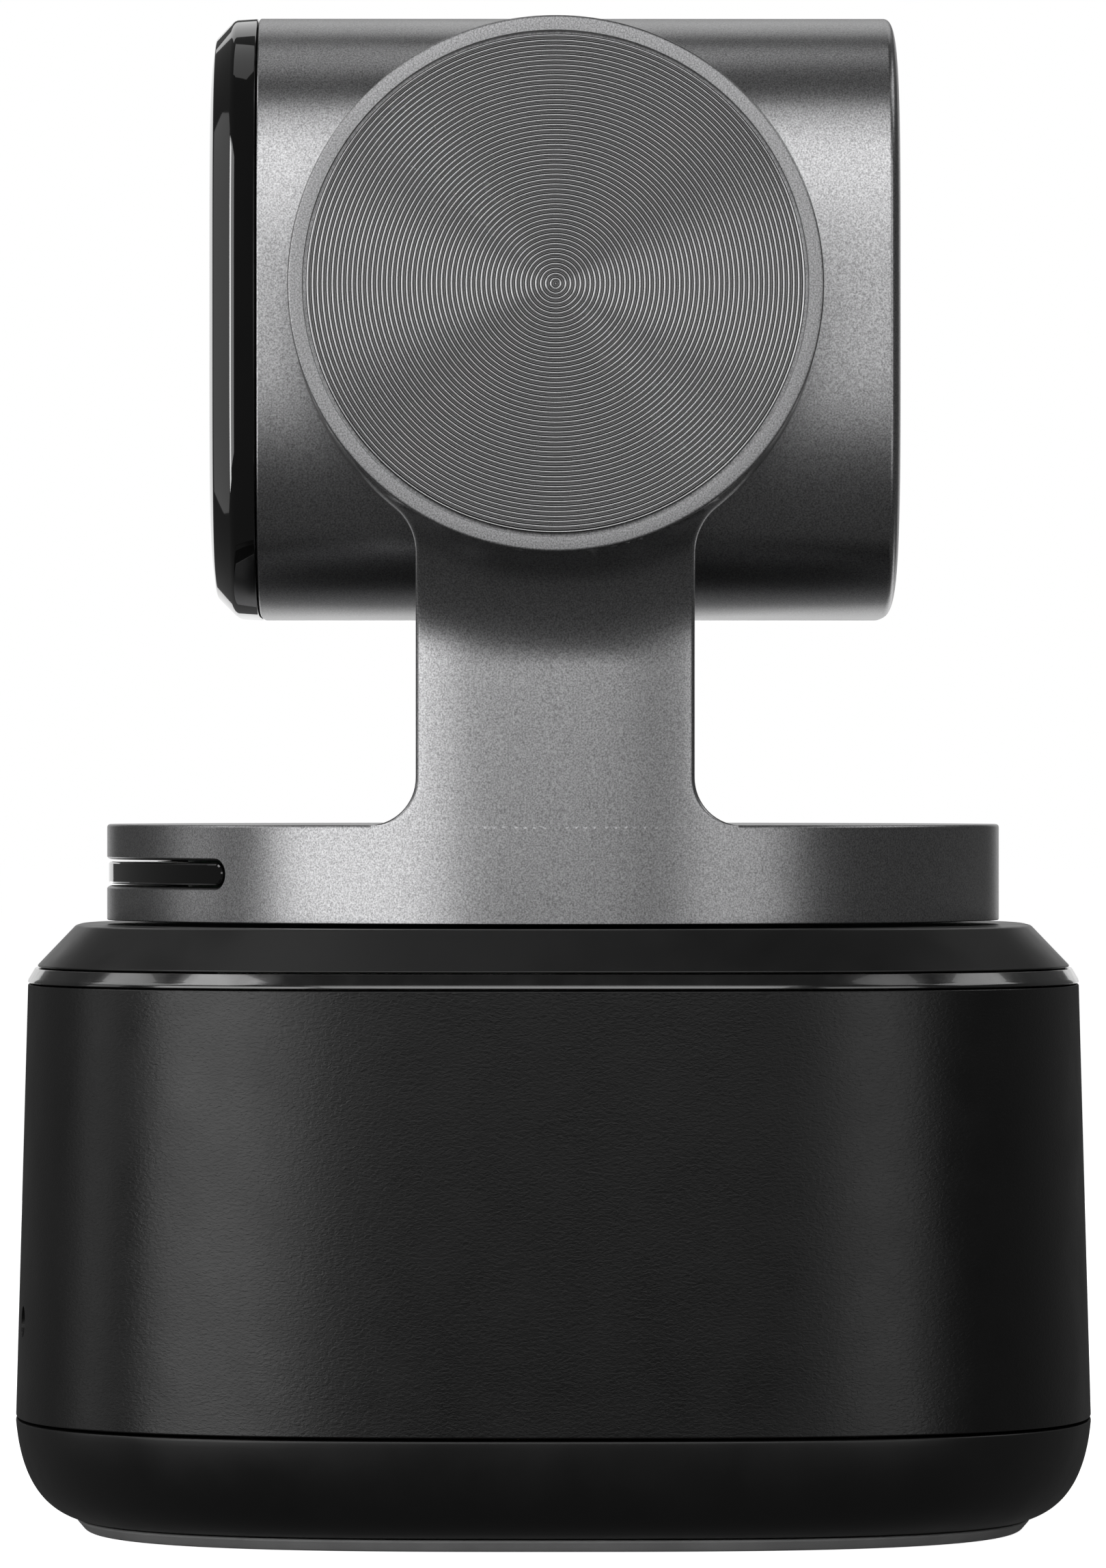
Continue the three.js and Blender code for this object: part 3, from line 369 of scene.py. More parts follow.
def turned_metal_painted_groove_shade(axis_height, pitch):
    """Turned metal whose colour carries painted shade in its grooves and a painted highlight on its crests, which
    circle an axis along X.
    """
    material, shader = new_material("turned_metal_painted_groove_shade", grey(0.5), 0.2, 1.0)
    pattern = Pattern(material, shader)
    nodes, links = pattern.tree.nodes, pattern.tree.links
    offset = nodes.new("ShaderNodeVectorMath")
    offset.operation = "MULTIPLY_ADD"
    offset.inputs[1].default_value = (0, 1 / pitch, 1 / pitch)
    offset.inputs[2].default_value = (0, 0, -axis_height / pitch)
    links.new(pattern.place, offset.inputs[0])
    turns = nodes.new("ShaderNodeVectorMath")
    turns.operation = "LENGTH"
    links.new(offset.outputs["Vector"], turns.inputs[0])
    away = nodes.new("ShaderNodeMath")
    away.operation = "PINGPONG"
    away.inputs[1].default_value = 0.5
    links.new(turns.outputs["Value"], away.inputs[0])
    # painted shade and highlight: the colour darkens in each groove and brightens on each crest
    pattern.colour(away.outputs["Value"], 0.05, 0.38, grey(0.47, 0.01), grey(0.17))
    pattern.roughness(pattern.noise(0.8, detail=1), 0.24, 0.28)
    pattern.bump(pattern.noise(0.3, detail=1), 0.002, 0.1)
    return material


def wound_wire():
    """Enamelled wire: fine turns over a slight unevenness."""
    material, shader = new_material("enamelled_wire", (0.42, 0.17, 0.07), 0.35, 0.9)
    pattern = Pattern(material, shader)
    wave = pattern.tree.nodes.new("ShaderNodeTexWave")
    wave.inputs["Scale"].default_value = 700
    wave.inputs["Distortion"].default_value = 1.5
    pattern.tree.links.new(pattern.place, wave.inputs["Vector"])
    pattern.colour(wave.outputs["Fac"], 0.1, 0.9, (0.22, 0.07, 0.03), (0.5, 0.22, 0.09))
    pattern.bump(wave.outputs["Fac"], 0.05, 0.8)
    return material


def circuit_board():
    """Solder mask over traces."""
    material, shader = new_material("solder_mask", (0.015, 0.07, 0.03), 0.35)
    pattern = Pattern(material, shader)
    traces = pattern.cells(1.4, scale=(1, 3, 1))
    pattern.colour(traces, 0.35, 0.42, (0.03, 0.12, 0.05), (0.012, 0.055, 0.025))
    pattern.bump(traces, 0.03, 0.4)
    return material


def coated_glass(name, tint, rough=0.0):
    """Clear glass with the faint tint of its coating."""
    material, shader = new_material(name, tint, rough)
    shader.inputs["Transmission Weight"].default_value = 1.0
    shader.inputs["IOR"].default_value = 1.5
    shader.inputs["Specular Tint"].default_value = (0.78, 0.84, 1.0, 1.0)
    pattern = Pattern(material, shader)
    pattern.colour(pattern.noise(5.0), 0.2, 0.8, tuple(t * 0.97 for t in tint), tint)
    return material


MATERIALS = {
    "anodised": blasted_metal("blasted_anodised_metal", 0.18, 0.46, 0.29, 0.33, extent("turntable_arm")[1].x),
    "ridged_disc": turned_metal_painted_groove_shade(TILT.z * MM, RIDGE_PITCH * MM),
    "grain_black": moulded_plastic(
        "grained_charcoal", 0.003, 0.31, 0.17, 0.024, 0.65, stretch=(0.8, 0.8, 1.6)),
    "satin_black": moulded_plastic("satin_black", 0.005, 0.37, 0.10, 0.006, 0.3),
    "gloss_black": polished_black("polished_black", 0.004),
    "polished_bevel": polished_black("polished_bevel", 0.004, 0.15, shine=1.0),
    "foot_rubber": moulded_plastic("silicone_rubber", 0.26, 0.62, 0.09, 0.01, 0.5),
    "steel": plain_metal("satin_steel", grey(0.40), grey(0.55, 0.02), 0.32, stretch=(1, 1, 12)),
    "brass": plain_metal("machined_brass", (0.48, 0.34, 0.14), (0.62, 0.46, 0.2), 0.26, stretch=(1, 1, 8)),
    "cast_metal": plain_metal("die_cast", grey(0.34), grey(0.46), 0.5, grain_mm=0.3),
    "windings": wound_wire(),
    "magnet": plain_metal("nickel_plate", grey(0.36), grey(0.44, 0.03), 0.2, grain_mm=0.5),
    "circuit": circuit_board(),
    "chip": moulded_plastic("chip_package", 0.02, 0.45, 0.08, 0.01, 0.5),
    "flex_film": moulded_plastic("polyimide_film", 0.12, 0.3, 0.5, 0.01, 0.3),
    "matte_black": moulded_plastic("matte_black", 0.006, 0.75, 0.08, 0.02, 0.6, shine=0.08),
    "clear_glass": coated_glass("window_glass", (0.98, 0.98, 1.0)),
    "filter_glass": coated_glass("lens_glass", (0.86, 0.9, 1.0)),
}


def add(name, slot, body, shape, *nodes, look=None, smooth_angle=SMOOTH_ANGLE):
    """Makes a piece, in the record's slot, from a shape or a finished solid. It replaces the nodes named."""
    piece = shape if isinstance(shape, bpy.types.Object) else solid(name, shape)
    piece.name = name
    return dress(piece, MATERIALS[look or slot], body, nodes, smooth_angle)


# ---- Base ----------------------------------------------------------------------------------------

base_plan = superellipse(PLAN_EXPONENT)


ROUND_RIM = 0.5  # how far round a hole the plan stays circular


def base_plan_round_below(radius):
    return superellipse(PLAN_EXPONENT, round_below=radius)


def make_foot_pad():
    low, high = extent("foot_pad")
    hole, slope = 4.4, 0.45
    profile = rounded([
        (hole, low.z, 0.1), (high.x - slope, low.z, 0.25), (high.x, high.z, 0.08), (hole, high.z),
    ])
    shape = turned(profile, plan=base_plan_round_below(hole + ROUND_RIM))
    add("foot_pad_skin", "foot_rubber", "base", shape, "foot_pad")


def make_bottom_cup():
    low, high = extent("bottom_cup")
    wall, floor, corner, hole = 1.6, 2.1, 1.5, 4.4
    edge = 0.14
    foot = high.x - 2.65
    side = bezier([
        (foot, low.z), (high.x - 1.0, low.z + 0.45), (high.x - 0.2, low.z + 2.0), (high.x, high.z - edge),
    ], 28)
    lip = rounded([(high.x, high.z - edge), (high.x, high.z, edge), (high.x - wall, high.z)], closed=False)
    profile = [
        (hole, low.z), *side[:-1], *lip, (high.x - wall, floor + corner), (high.x - wall - corner, floor),
        (hole, floor),
    ]
    shape = turned(profile, plan=base_plan_round_below(hole + ROUND_RIM))
    add("bottom_cup_skin", "satin_black", "base", shape, "bottom_cup")


MIC_X, MIC_Z, MIC_RADIUS, MIC_FLARE = 9.0, 9.5, 0.7, 0.5
SOCKET_Z, SOCKET_GAP = 11.08, 0.3


def stadium_loop(half_width, half_height, height, steps=16):
    """A flat-sided loop with half-round ends, as (across, up) points."""
    points = []
    for side, start in ((1, -0.5), (-1, 0.5)):
        for k in range(steps + 1):
            angle = math.pi * (start + k / steps)
            points.append((
                side * (half_width - half_height) + half_height * math.cos(angle),
                height + half_height * math.sin(angle),
            ))
    return points


def stadium_bar(half_width, half_height, height, stations):
    """A stadium-sectioned bar along Y. Each station is (y, how much wider than the outline it is there)."""
    return lofted([
        [(u, y, v) for u, v in stadium_loop(half_width + more, half_height + more, height)]
        for y, more in stations
    ])


def make_base_shell():
    low, high = extent("base_shell")
    top_half = high.x - 0.54
    wall = 1.8
    profile = rounded([
        (high.x - wall, low.z), (high.x, low.z, 0.07), (top_half, high.z, 0.07), (top_half - wall, high.z),
    ])
    shell = solid("base_shell_skin", turned(profile, plan=base_plan))
    face = high.x
    tools = []
    for x in (-MIC_X, MIC_X):
        inside, flare, outside = -21.0, -23.95, -24.6
        hole = [
            (0, inside), (MIC_RADIUS, inside), (MIC_RADIUS, flare), (MIC_RADIUS + MIC_FLARE, outside),
            (0, outside),
        ]
        tools.append(solid("mic_hole", turned(hole, "Y", segments=SMALL_SEGMENTS, centre=(x, 0, MIC_Z))))
    socket_low, socket_high = extent("usb_c_receptacle")
    half_width = socket_high.x + SOCKET_GAP
    half_height = (socket_high.z - socket_low.z) / 2 + SOCKET_GAP
    stations = [(20.0, 0), (face - 0.3, 0), (face - 0.12, 0.06), (face + 0.4, 0.45)]
    tools.append(solid("socket_hole", stadium_bar(half_width, half_height, SOCKET_Z, stations)))
    add("base_shell_skin", "grain_black", "base", combine(shell, "DIFFERENCE", *tools), "base_shell")


def make_trim_ring():
    low, high = extent("trim_ring")
    slope, inner = 0.31, 22.0
    lip = bezier([(high.x, low.z + 0.03), (high.x, low.z + 0.12), (high.x - 0.03, low.z + 0.17),
                  (high.x - 0.1, low.z + 0.28)], 14)
    top = rounded([lip[-1], (high.x - slope, high.z, 0.03), (inner, high.z)], closed=False)
    profile = [(inner, low.z), (high.x - 0.03, low.z), *lip, *top[1:]]
    shape = turned(profile, plan=base_plan)
    add("trim_ring_skin", "gloss_black", "base", shape, "trim_ring", look="polished_bevel")


def make_top_cover():
    low, high = extent("top_cover")
    top_half, ceiling, lip, hole = 21.6, 25.8, 20.6, 4.0
    profile = rounded([
        (hole, ceiling), (lip, ceiling), (lip, low.z), (high.x, low.z, 0.06), (top_half, high.z, 0.25),
        (hole, high.z, 0.2),
    ])
    shape = turned(profile, plan=base_plan_round_below(hole + ROUND_RIM))
    add("top_cover_skin", "satin_black", "base", shape, "top_cover")


def make_tripod_insert():
    """The threaded insert: a brass body whose bore carries the thread's ridges."""
    low, high = extent("tripod_insert")
    body, flange, flange_low, flange_high, bore, bore_top = 4.1, high.x, 4.6, 5.6, 2.6, 5.8
    pitch, depth, ridges = 1.27, 0.5, 4
    thread = []
    for k in range(ridges):
        start = bore_top - 0.3 - pitch * (k + 1)
        thread += [
            (bore, start + pitch * 0.95), (bore + depth, start + pitch * 0.55),
            (bore + depth, start + pitch * 0.4),
        ]
    profile = [
        (0, bore_top), (bore, bore_top), *[p for p in thread if p[1] > low.z + 0.25], (bore, low.z + 0.2),
        (bore + 0.25, low.z), (body, low.z), (body, flange_low), (flange, flange_low), (flange, flange_high),
        (body, flange_high), (body, high.z), (0, high.z),
    ]
    add("tripod_insert_skin", "brass", "base", turned(profile, segments=96), "tripod_insert")


def make_usb_socket():
    low, high = extent("usb_c_receptacle")
    half_height = (high.z - low.z) / 2
    wall, floor = 0.3, 1.2
    outside = stadium_bar(high.x, half_height, SOCKET_Z, [(low.y, 0), (high.y - 0.08, 0), (high.y, -0.07)])
    inside = stadium_bar(high.x - wall, half_height - wall, SOCKET_Z, [
        (low.y + floor, 0), (high.y - 0.15, 0), (high.y + 0.1, 0.16),
    ])
    socket = combine(solid("usb_c_socket", outside), "DIFFERENCE", solid("socket_room", inside))
    add("usb_c_socket", "steel", "base", socket, "usb_c_receptacle")
    make_socket_contacts(extent("usb_c_tongue"))


def slab(low, high, edge, axis="Y"):
    """A rounded rectangle in the plane across an axis, with its long edges eased."""
    order = {"X": (1, 2, 0), "Y": (0, 2, 1), "Z": (0, 1, 2)}[axis]
    u, v, w = order
    stations = [(low[w], edge), (low[w] + edge, 0), (high[w] - edge, 0), (high[w], edge)]
    sections = []
    for level, inset in stations:
        loop = rounded([
            (low[u] + inset, low[v] + inset, edge), (high[u] - inset, low[v] + inset, edge),
            (high[u] - inset, high[v] - inset, edge), (low[u] + inset, high[v] - inset, edge),
        ])
        section = []
        for across, up in loop:
            point = [0, 0, 0]
            point[u], point[v], point[w] = across, up, level
            section.append(point)
        sections.append(section)
    return lofted(sections)


def make_socket_contacts(tongue_extent):
    low, high = tongue_extent
    add("usb_c_tongue_skin", "matte_black", "base", slab(low, high, 0.1), "usb_c_tongue")
    pitch, half_width, proud, count = 0.5, 0.12, 0.02, 12
    for face, level in (("upper", high.z), ("lower", low.z)):
        strips = None
        for k in range(count):
            x = (k - (count - 1) / 2) * pitch
            strip = solid("contact", slab(
                Vector((x - half_width, high.y - 3.4, level - proud)),
                Vector((x + half_width, high.y - 0.4, level + proud)), 0.015,
            ))
            strips = strip if strips is None else combine(strips, "UNION", strip)
        add(f"usb_c_contacts_{face}", "brass", "base", strips)


# ---- Turntable and arm ---------------------------------------------------------------------------

DISC_RADIUS, DISC_BOTTOM, DISC_TOP = 20.28, 27.39, 31.74
ARM_INNER_X = 16.9
HOUSING_RADIUS, HOUSING_FACE, HOUSING_EDGE = 11.68, extent("turntable_arm")[1].x, 0.13
FLARE, FLARE_END = 0.32, math.radians(15)
NECK_HALF, LOW_FILLET, HIGH_FILLET = 6.12, 2.1, 2.4
BEND_TURN = math.radians(65)
NECK_EDGE = 0.22  # rounding of the neck's outer edges
SLOT_Z, SLOT_HALF_ANGLE = 29.55, math.radians(42)
SHAFT_HOLE = 2.4  # radius, in the arm and in the head's wall


def arm_outward(y, z):
    """How far out the arm's side stands: the turntable's cylinder, bent outward into the housing's rim."""
    rim_x = HOUSING_FACE - HOUSING_EDGE
    wall_x = math.sqrt(DISC_RADIUS ** 2 - y ** 2)
    rim_z = TILT.z - math.sqrt(max(HOUSING_RADIUS ** 2 - y ** 2, 0))
    bend = (rim_x - wall_x) / (1 - math.cos(BEND_TURN))
    rise = (z - (rim_z - bend * math.sin(BEND_TURN))) / bend
    if rise <= 0:
        return wall_x
    if rise >= math.sin(BEND_TURN):
        return rim_x
    return wall_x + bend * (1 - math.sqrt(1 - rise ** 2))


def neck_half_widths():
    """The neck's (half width, height), from below the turntable's top to where it meets the housing."""
    circle_radius = HOUSING_RADIUS + FLARE
    across = NECK_HALF + HIGH_FILLET
    meet = math.acos(across / (circle_radius + HIGH_FILLET))
    fillet_z = TILT.z - math.sqrt((circle_radius + HIGH_FILLET) ** 2 - across ** 2)
    rows = [(NECK_HALF + LOW_FILLET, DISC_TOP - 1.0)]
    for k in range(17):
        angle = math.pi / 2 * k / 16
        half = NECK_HALF + LOW_FILLET * (1 - math.sin(angle))
        rows.append((half, DISC_TOP + LOW_FILLET * (1 - math.cos(angle))))
    low_z, straight_rows = rows[-1][1], 22
    rows += [(NECK_HALF, low_z + (fillet_z - low_z) * k / straight_rows) for k in range(1, straight_rows)]
    for k in range(15):
        angle = meet * k / 14
        rows.append((across - HIGH_FILLET * math.cos(angle), fillet_z + HIGH_FILLET * math.sin(angle)))
    for k in range(1, 19):
        angle = meet + (FLARE_END - meet) * k / 18
        radius = HOUSING_RADIUS + FLARE * (1 - k / 18)
        rows.append((radius * math.cos(angle), TILT.z - radius * math.sin(angle)))
    return rows


def neck_shape():
    columns = 44
    sections = []
    for half, z in neck_half_widths():
        ys, drops = [], []
        for k in range(ARC_STEPS):
            turn = math.pi / 2 * k / ARC_STEPS
            ys.append(half - NECK_EDGE * (1 - math.cos(turn)))
            drops.append(NECK_EDGE * (1 - math.sin(turn)))
        inside = half - NECK_EDGE
        middle = [inside * (1 - 2 * k / columns) for k in range(columns + 1)]
        across = ys + middle + [-y for y in reversed(ys)]
        sink = drops + [0] * len(middle) + drops[::-1]
        outer = [(arm_outward(y, z) - drop, y, z) for y, drop in zip(across, sink)]
        sections.append([(ARM_INNER_X, half, z), *outer, (ARM_INNER_X, -half, z)])
    return lofted(sections)


def bent_stadium(half_angle, half_height, stations, steps=10, columns=40):
    """A bar with half-round ends, bent round the Z axis. Each station is (radius, how much larger)."""
    sections = []
    reach = DISC_RADIUS * half_angle
    for radius, more in stations:
        loop = []
        end = half_height + more
        for k in range(columns + 1):
            loop.append((-reach + 2 * reach * k / columns, -end))
        for k in range(1, steps * 2):
            angle = math.pi * (k / (steps * 2) - 0.5)
            loop.append((reach + end * math.cos(angle), end * math.sin(angle)))
        for k in range(columns + 1):
            loop.append((reach - 2 * reach * k / columns, end))
        for k in range(1, steps * 2):
            angle = math.pi * (k / (steps * 2) + 0.5)
            loop.append((-reach + end * math.cos(angle), end * math.sin(angle)))
        sections.append([
            (radius * math.sin(s / DISC_RADIUS), -radius * math.cos(s / DISC_RADIUS), SLOT_Z + up)
            for s, up in loop
        ])
    return bent_bar(sections, columns, steps)


def bent_bar(sections, columns, steps):
    """Skins the bar's stations, and closes each end with strips that follow the bend."""
    verts, faces = lofted(sections)
    faces = faces[:-2]
    ends = steps * 2 - 1
    count = len(sections[0])
    for first in (0, (len(sections) - 1) * count):
        lower = [first + k for k in range(columns + 1)]
        right = [first + columns + 1 + k for k in range(ends)]
        upper = [first + columns + 1 + ends + k for k in range(columns + 1)]
        left = [first + 2 * (columns + 1) + ends + k for k in range(ends)]
        for k in range(columns):
            faces.append([lower[k], lower[k + 1], upper[columns - k - 1], upper[columns - k]])
        faces.append([lower[-1], *right, upper[0]])
        faces.append([upper[-1], *left, lower[0]])
    return verts, faces


def foot_web_shape():
    """The rounded web behind the neck's foot."""
    web = 2.0
    low_z = DISC_TOP - 0.5
    loop = [(ARM_INNER_X + 1, low_z), (ARM_INNER_X + 1, DISC_TOP + web)]
    for k in range(13):
        angle = math.pi / 2 * k / 12
        loop.append((ARM_INNER_X - web * (1 - math.cos(angle)), DISC_TOP + web * (1 - math.sin(angle))))
    loop.append((ARM_INNER_X - web, low_z))
    return lofted([[(x, y, z) for x, z in loop] for y in (-NECK_HALF, NECK_HALF)])


def make_turntable_arm():
    recess, ceiling = 17.9, 30.3
    disc = solid("turntable_arm_skin", turned(rounded([
        (0, ceiling), (recess, ceiling), (recess, DISC_BOTTOM), (DISC_RADIUS, DISC_BOTTOM, 0.06),
        (DISC_RADIUS, DISC_TOP, 0.14), (0, DISC_TOP),
    ], closed=False)))
    housing = solid("housing", turned(rounded([
        (0, ARM_INNER_X), (HOUSING_RADIUS, ARM_INNER_X, 0.2), (HOUSING_RADIUS, HOUSING_FACE, HOUSING_EDGE),
        (0, HOUSING_FACE),
    ], closed=False), "X", centre=(0, 0, TILT.z)))
    neck = solid("neck", neck_shape())
    web = solid("web", foot_web_shape())
    combine(disc, "UNION", neck, housing, web)
    seat, seat_x, seat_edge = 11.02, 22.4, 0.05  # the cap's seat, and the bevel round its mouth
    seat_tool = turned([
        (0, seat_x), (seat, seat_x), (seat, HOUSING_FACE - 0.02), (seat + seat_edge, HOUSING_FACE + 0.03),
        (0, HOUSING_FACE + 0.03),
    ], "X", centre=(0, 0, TILT.z))
    slot_edge = [(17.2, 0), (20.12, 0), (20.2, 0.03), (20.27, 0.1), (20.6, 0.5)]
    slot_tool = bent_stadium(SLOT_HALF_ANGLE, 0.6, slot_edge)
    combine(disc, "DIFFERENCE", solid("seat", seat_tool), solid("slot", slot_tool))
    cut_cover_seat(disc)
    cut_motor_room(disc)
    add("turntable_arm_skin", "anodised", "turntable", disc, "turntable_arm")


def cut_cover_seat(arm):
    low, high = extent("arm_inner_cover")
    gap = Vector((0.1, 0.1, 0.1))
    low, high = low - gap, high + gap
    low.x = ARM_INNER_X - 1
    combine(arm, "DIFFERENCE", solid("cover_seat", slab(low, high, 0.3, "X")))


def cut_motor_room(arm):
    """Makes room in the housing for the tilt motor and its bearing, and a hole for the shaft."""
    gap, centre, tools = 0.05, (0, 0, TILT.z), []
    for node in ("tilt_bearing", "tilt_motor_stator", "tilt_rotor"):
        low, high = extent(node)
        radius, start, end = (high.z - low.z) / 2 + gap, low.x - gap, high.x + gap
        room = [(0, start), (radius, start), (radius, end), (0, end)]
        tools.append(turned(room, "X", centre=centre))
    start, end = ARM_INNER_X - 1, extent("tilt_shaft")[1].x + gap
    hole = [(0, start), (SHAFT_HOLE, start), (SHAFT_HOLE, end), (0, end)]
    tools.append(turned(hole, "X", segments=SMALL_SEGMENTS, centre=centre))
    combine(arm, "DIFFERENCE", *[solid("motor_room", tool) for tool in tools])


def make_status_window():
    stations = [(18.0, 0), (20.08, 0), (20.15, -0.025), (20.2, -0.09)]
    bar = bent_stadium(SLOT_HALF_ANGLE - 0.004, 0.5, stations)
    add("status_window_skin", "gloss_black", "turntable", bar, "status_window")


RIDGE_STEPS, RIDGE_DEPTH, CAP_SEGMENTS = 8, 0.12, 160
CREST_SHARE, CREST_DROP = 0.34, 0.14  # the share of the pitch, and of the depth, that the rounded crest takes
RIM_HEIGHT = 0.02  # how far the rim stands above the crests


def ridge_depth(across):
    """A ridge's depth, from 0 on its crest to 1 in the valley, at a place across the pitch (-0.5 to 0.5)."""
    half_crest = CREST_SHARE / 2
    away = abs(across)
    if away < half_crest:
        return CREST_DROP * (away / half_crest) ** 2
    fall = (away - half_crest) / (0.5 - half_crest)
    return CREST_DROP + (1 - CREST_DROP) * math.sin(fall * math.pi / 2)


def make_disc_cap():
    """The housing's cap: a rounded rim round fine concentric ridges."""
    low, high = extent("disc_cap")
    profile = [(0, low.x), (CAP_RADIUS, low.x)]
    bead = CAP_RIM / 2
    for k in range(ARC_STEPS + 1):
        angle = math.pi / 2 * k / ARC_STEPS
        profile.append((CAP_RADIUS - bead + bead * math.cos(angle), high.x - bead + bead * math.sin(angle)))
    crest = high.x - RIM_HEIGHT
    for step in range(CAP_RIDGES * RIDGE_STEPS - 1, -1, -1):
        turn = step / RIDGE_STEPS
        profile.append((RIDGE_PITCH * turn, crest - RIDGE_DEPTH * ridge_depth(turn - round(turn))))
    shape = turned(profile, "X", segments=CAP_SEGMENTS, centre=(0, 0, TILT.z))
    add("disc_cap_skin", "ridged_disc", "turntable", shape, "disc_cap", smooth_angle=RIDGE_SMOOTH_ANGLE)


def make_arm_cover():
    low, high = extent("arm_inner_cover")
    add("arm_cover_skin", "satin_black", "turntable", slab(low, high, 0.2, "X"), "arm_inner_cover")


# ---- Head ----------------------------------------------------------------------------------------

HEAD_LOW, HEAD_HIGH = extent("head_shell")
HEAD_CENTRE = Vector((0, 0, (HEAD_LOW.z + HEAD_HIGH.z) / 2))
HEAD_HALF = (HEAD_HIGH.z - HEAD_LOW.z) / 2
HEAD_RATIO = HEAD_HIGH.x / HEAD_HALF
head_plan = superellipse(HEAD_EXPONENT, HEAD_RATIO)


def make_head_shell():
    wall, front, back = 1.3, HEAD_LOW.y, HEAD_HIGH.y
    inner = HEAD_HALF - wall
    crown = bezier([(HEAD_HALF, back - 0.62), (HEAD_HALF, back - 0.1), (HEAD_HALF - 1.1, back - 0.08),
                    (HEAD_HALF - 3.6, back - 0.02)], 20)
    profile = [
        (0, back - 1.4), (inner - 0.8, back - 1.4), (inner, back - 2.2), (inner, front),
        *rounded([(inner, front), (HEAD_HALF, front, 0.1), (HEAD_HALF, back - 1)], closed=False)[1:-1],
        *crown, (HEAD_HALF - 8, back - 0.005), (0, back),
    ]
    shell = solid("head_shell_skin", turned(profile, "Y", head_plan, centre=HEAD_CENTRE))
    inside, outside = 13, 17.5
    hole = turned([(0, inside), (SHAFT_HOLE, inside), (SHAFT_HOLE, outside), (0, outside)], "X",
                  segments=SMALL_SEGMENTS, centre=(0, 0, TILT.z))
    tool = solid("shaft_hole", hole)
    add("head_shell_skin", "anodised", "head", combine(shell, "DIFFERENCE", tool), "head_shell")


def make_front_bezel():
    low, high = extent("front_bezel")
    opening, rabbet, ledge, panel_front = 10.9, 9.9, -14.1, low.y
    profile = rounded([
        (opening, panel_front, 0.05), (HEAD_HALF - 1.9, panel_front + 0.06, 0.9),
        (HEAD_HALF - 0.9, -15.12, 0.25),
        (HEAD_HALF - 0.06, -14.28, 0.42), (HEAD_HALF, high.y, 0.06), (rabbet, high.y), (rabbet, ledge),
        (opening, ledge),
    ])
    shape = turned(profile, "Y", head_plan, centre=HEAD_CENTRE)
    add("front_bezel_skin", "gloss_black", "head", shape, "front_bezel")


def make_front_panel():
    low, high = extent("front_panel")
    half, lens_hole = 10.8, 7.2
    plan = superellipse(HEAD_EXPONENT, HEAD_RATIO, round_below=lens_hole + 0.6)
    profile = rounded([
        (lens_hole, low.y, 0.12), (lens_hole + 0.5, low.y), (half, low.y + 0.06, 0.05), (half, high.y),
        (lens_hole, high.y),
    ])
    shape = turned(profile, "Y", plan, centre=HEAD_CENTRE)
    add("front_panel_skin", "gloss_black", "head", shape, "front_panel")


def make_lens_parts():
    low, high = extent("lens_window")
    pane = rounded([(0, low.y), (high.x, low.y, 0.1), (high.x, high.y, 0.1), (0, high.y)], closed=False)
    shape = turned(pane, "Y", segments=128, centre=HEAD_CENTRE)
    add("lens_window_pane", "clear_glass", "head", shape, "lens_window")
    low, high = extent("lens_hood")
    mouth, throat, steps = 6.5, 3.9, 9
    profile = [(high.x, low.y), (high.x, high.y)]
    for k in range(steps):
        radius = throat + (mouth - throat) * k / (steps - 1)
        near, far = high.y + (low.y - high.y) * k / steps, high.y + (low.y - high.y) * (k + 1) / steps
        profile += [(radius, near), (radius, far)]
    shape = turned(profile, "Y", segments=128, centre=HEAD_CENTRE)
    add("lens_hood_skin", "matte_black", "head", shape, "lens_hood")
    for node in ("lens_element_front", "lens_element_rear"):
        low, high = extent(node)
        bulge, steps = 0.5, 14
        front = [(high.x * k / steps, low.y + bulge * (k / steps) ** 2) for k in range(steps + 1)]
        back = [(high.x * k / steps, high.y - bulge * (k / steps) ** 2) for k in range(steps, -1, -1)]
        shape = turned(front + back, "Y", segments=96, centre=HEAD_CENTRE)
        add(f"{node}_skin", "filter_glass", "lens_group", shape, node)
    low, high = extent("lens_barrel")
    wall = 0.75
    barrel = rounded([
        (high.x - wall, low.y, 0.1), (high.x, low.y, 0.12), (high.x, high.y, 0.1),
        (high.x - wall, high.y, 0.1),
    ])
    shape = turned(barrel, "Y", segments=96, centre=HEAD_CENTRE)
    add("lens_barrel_skin", "matte_black", "lens_group", shape, "lens_barrel")


# ---- CAD nodes that stay -------------------------------------------------------------------------

def dress_cad_nodes():
    for entry in frame["record"]["subparts"]:
        node = frame["nodes"][entry["node"]]
        node.data.materials.clear()
        node.data.materials.append(MATERIALS[entry["material_slot"]])


# ---- Camera, light and floor ---------------------------------------------------------------------

VIEW_DISTANCE, VIEW_SIDE, VIEW_HEIGHT, LENS = 523.0, -2.65, 33.56, 263.7


def make_camera():
    data = bpy.data.cameras.new("camera")
    data.lens = LENS
    data.sensor_width = 36
    data.clip_start, data.clip_end = 0.01, 20
    camera = bpy.data.objects.new("camera", data)
    bpy.context.scene.collection.objects.link(camera)
    camera.location = Vector((VIEW_DISTANCE, VIEW_SIDE, VIEW_HEIGHT)) * MM
    aim = Vector((0, 0, VIEW_HEIGHT)) * MM - camera.location
    camera.rotation_euler = aim.to_track_quat("-Z", "Y").to_euler()
    bpy.context.scene.camera = camera


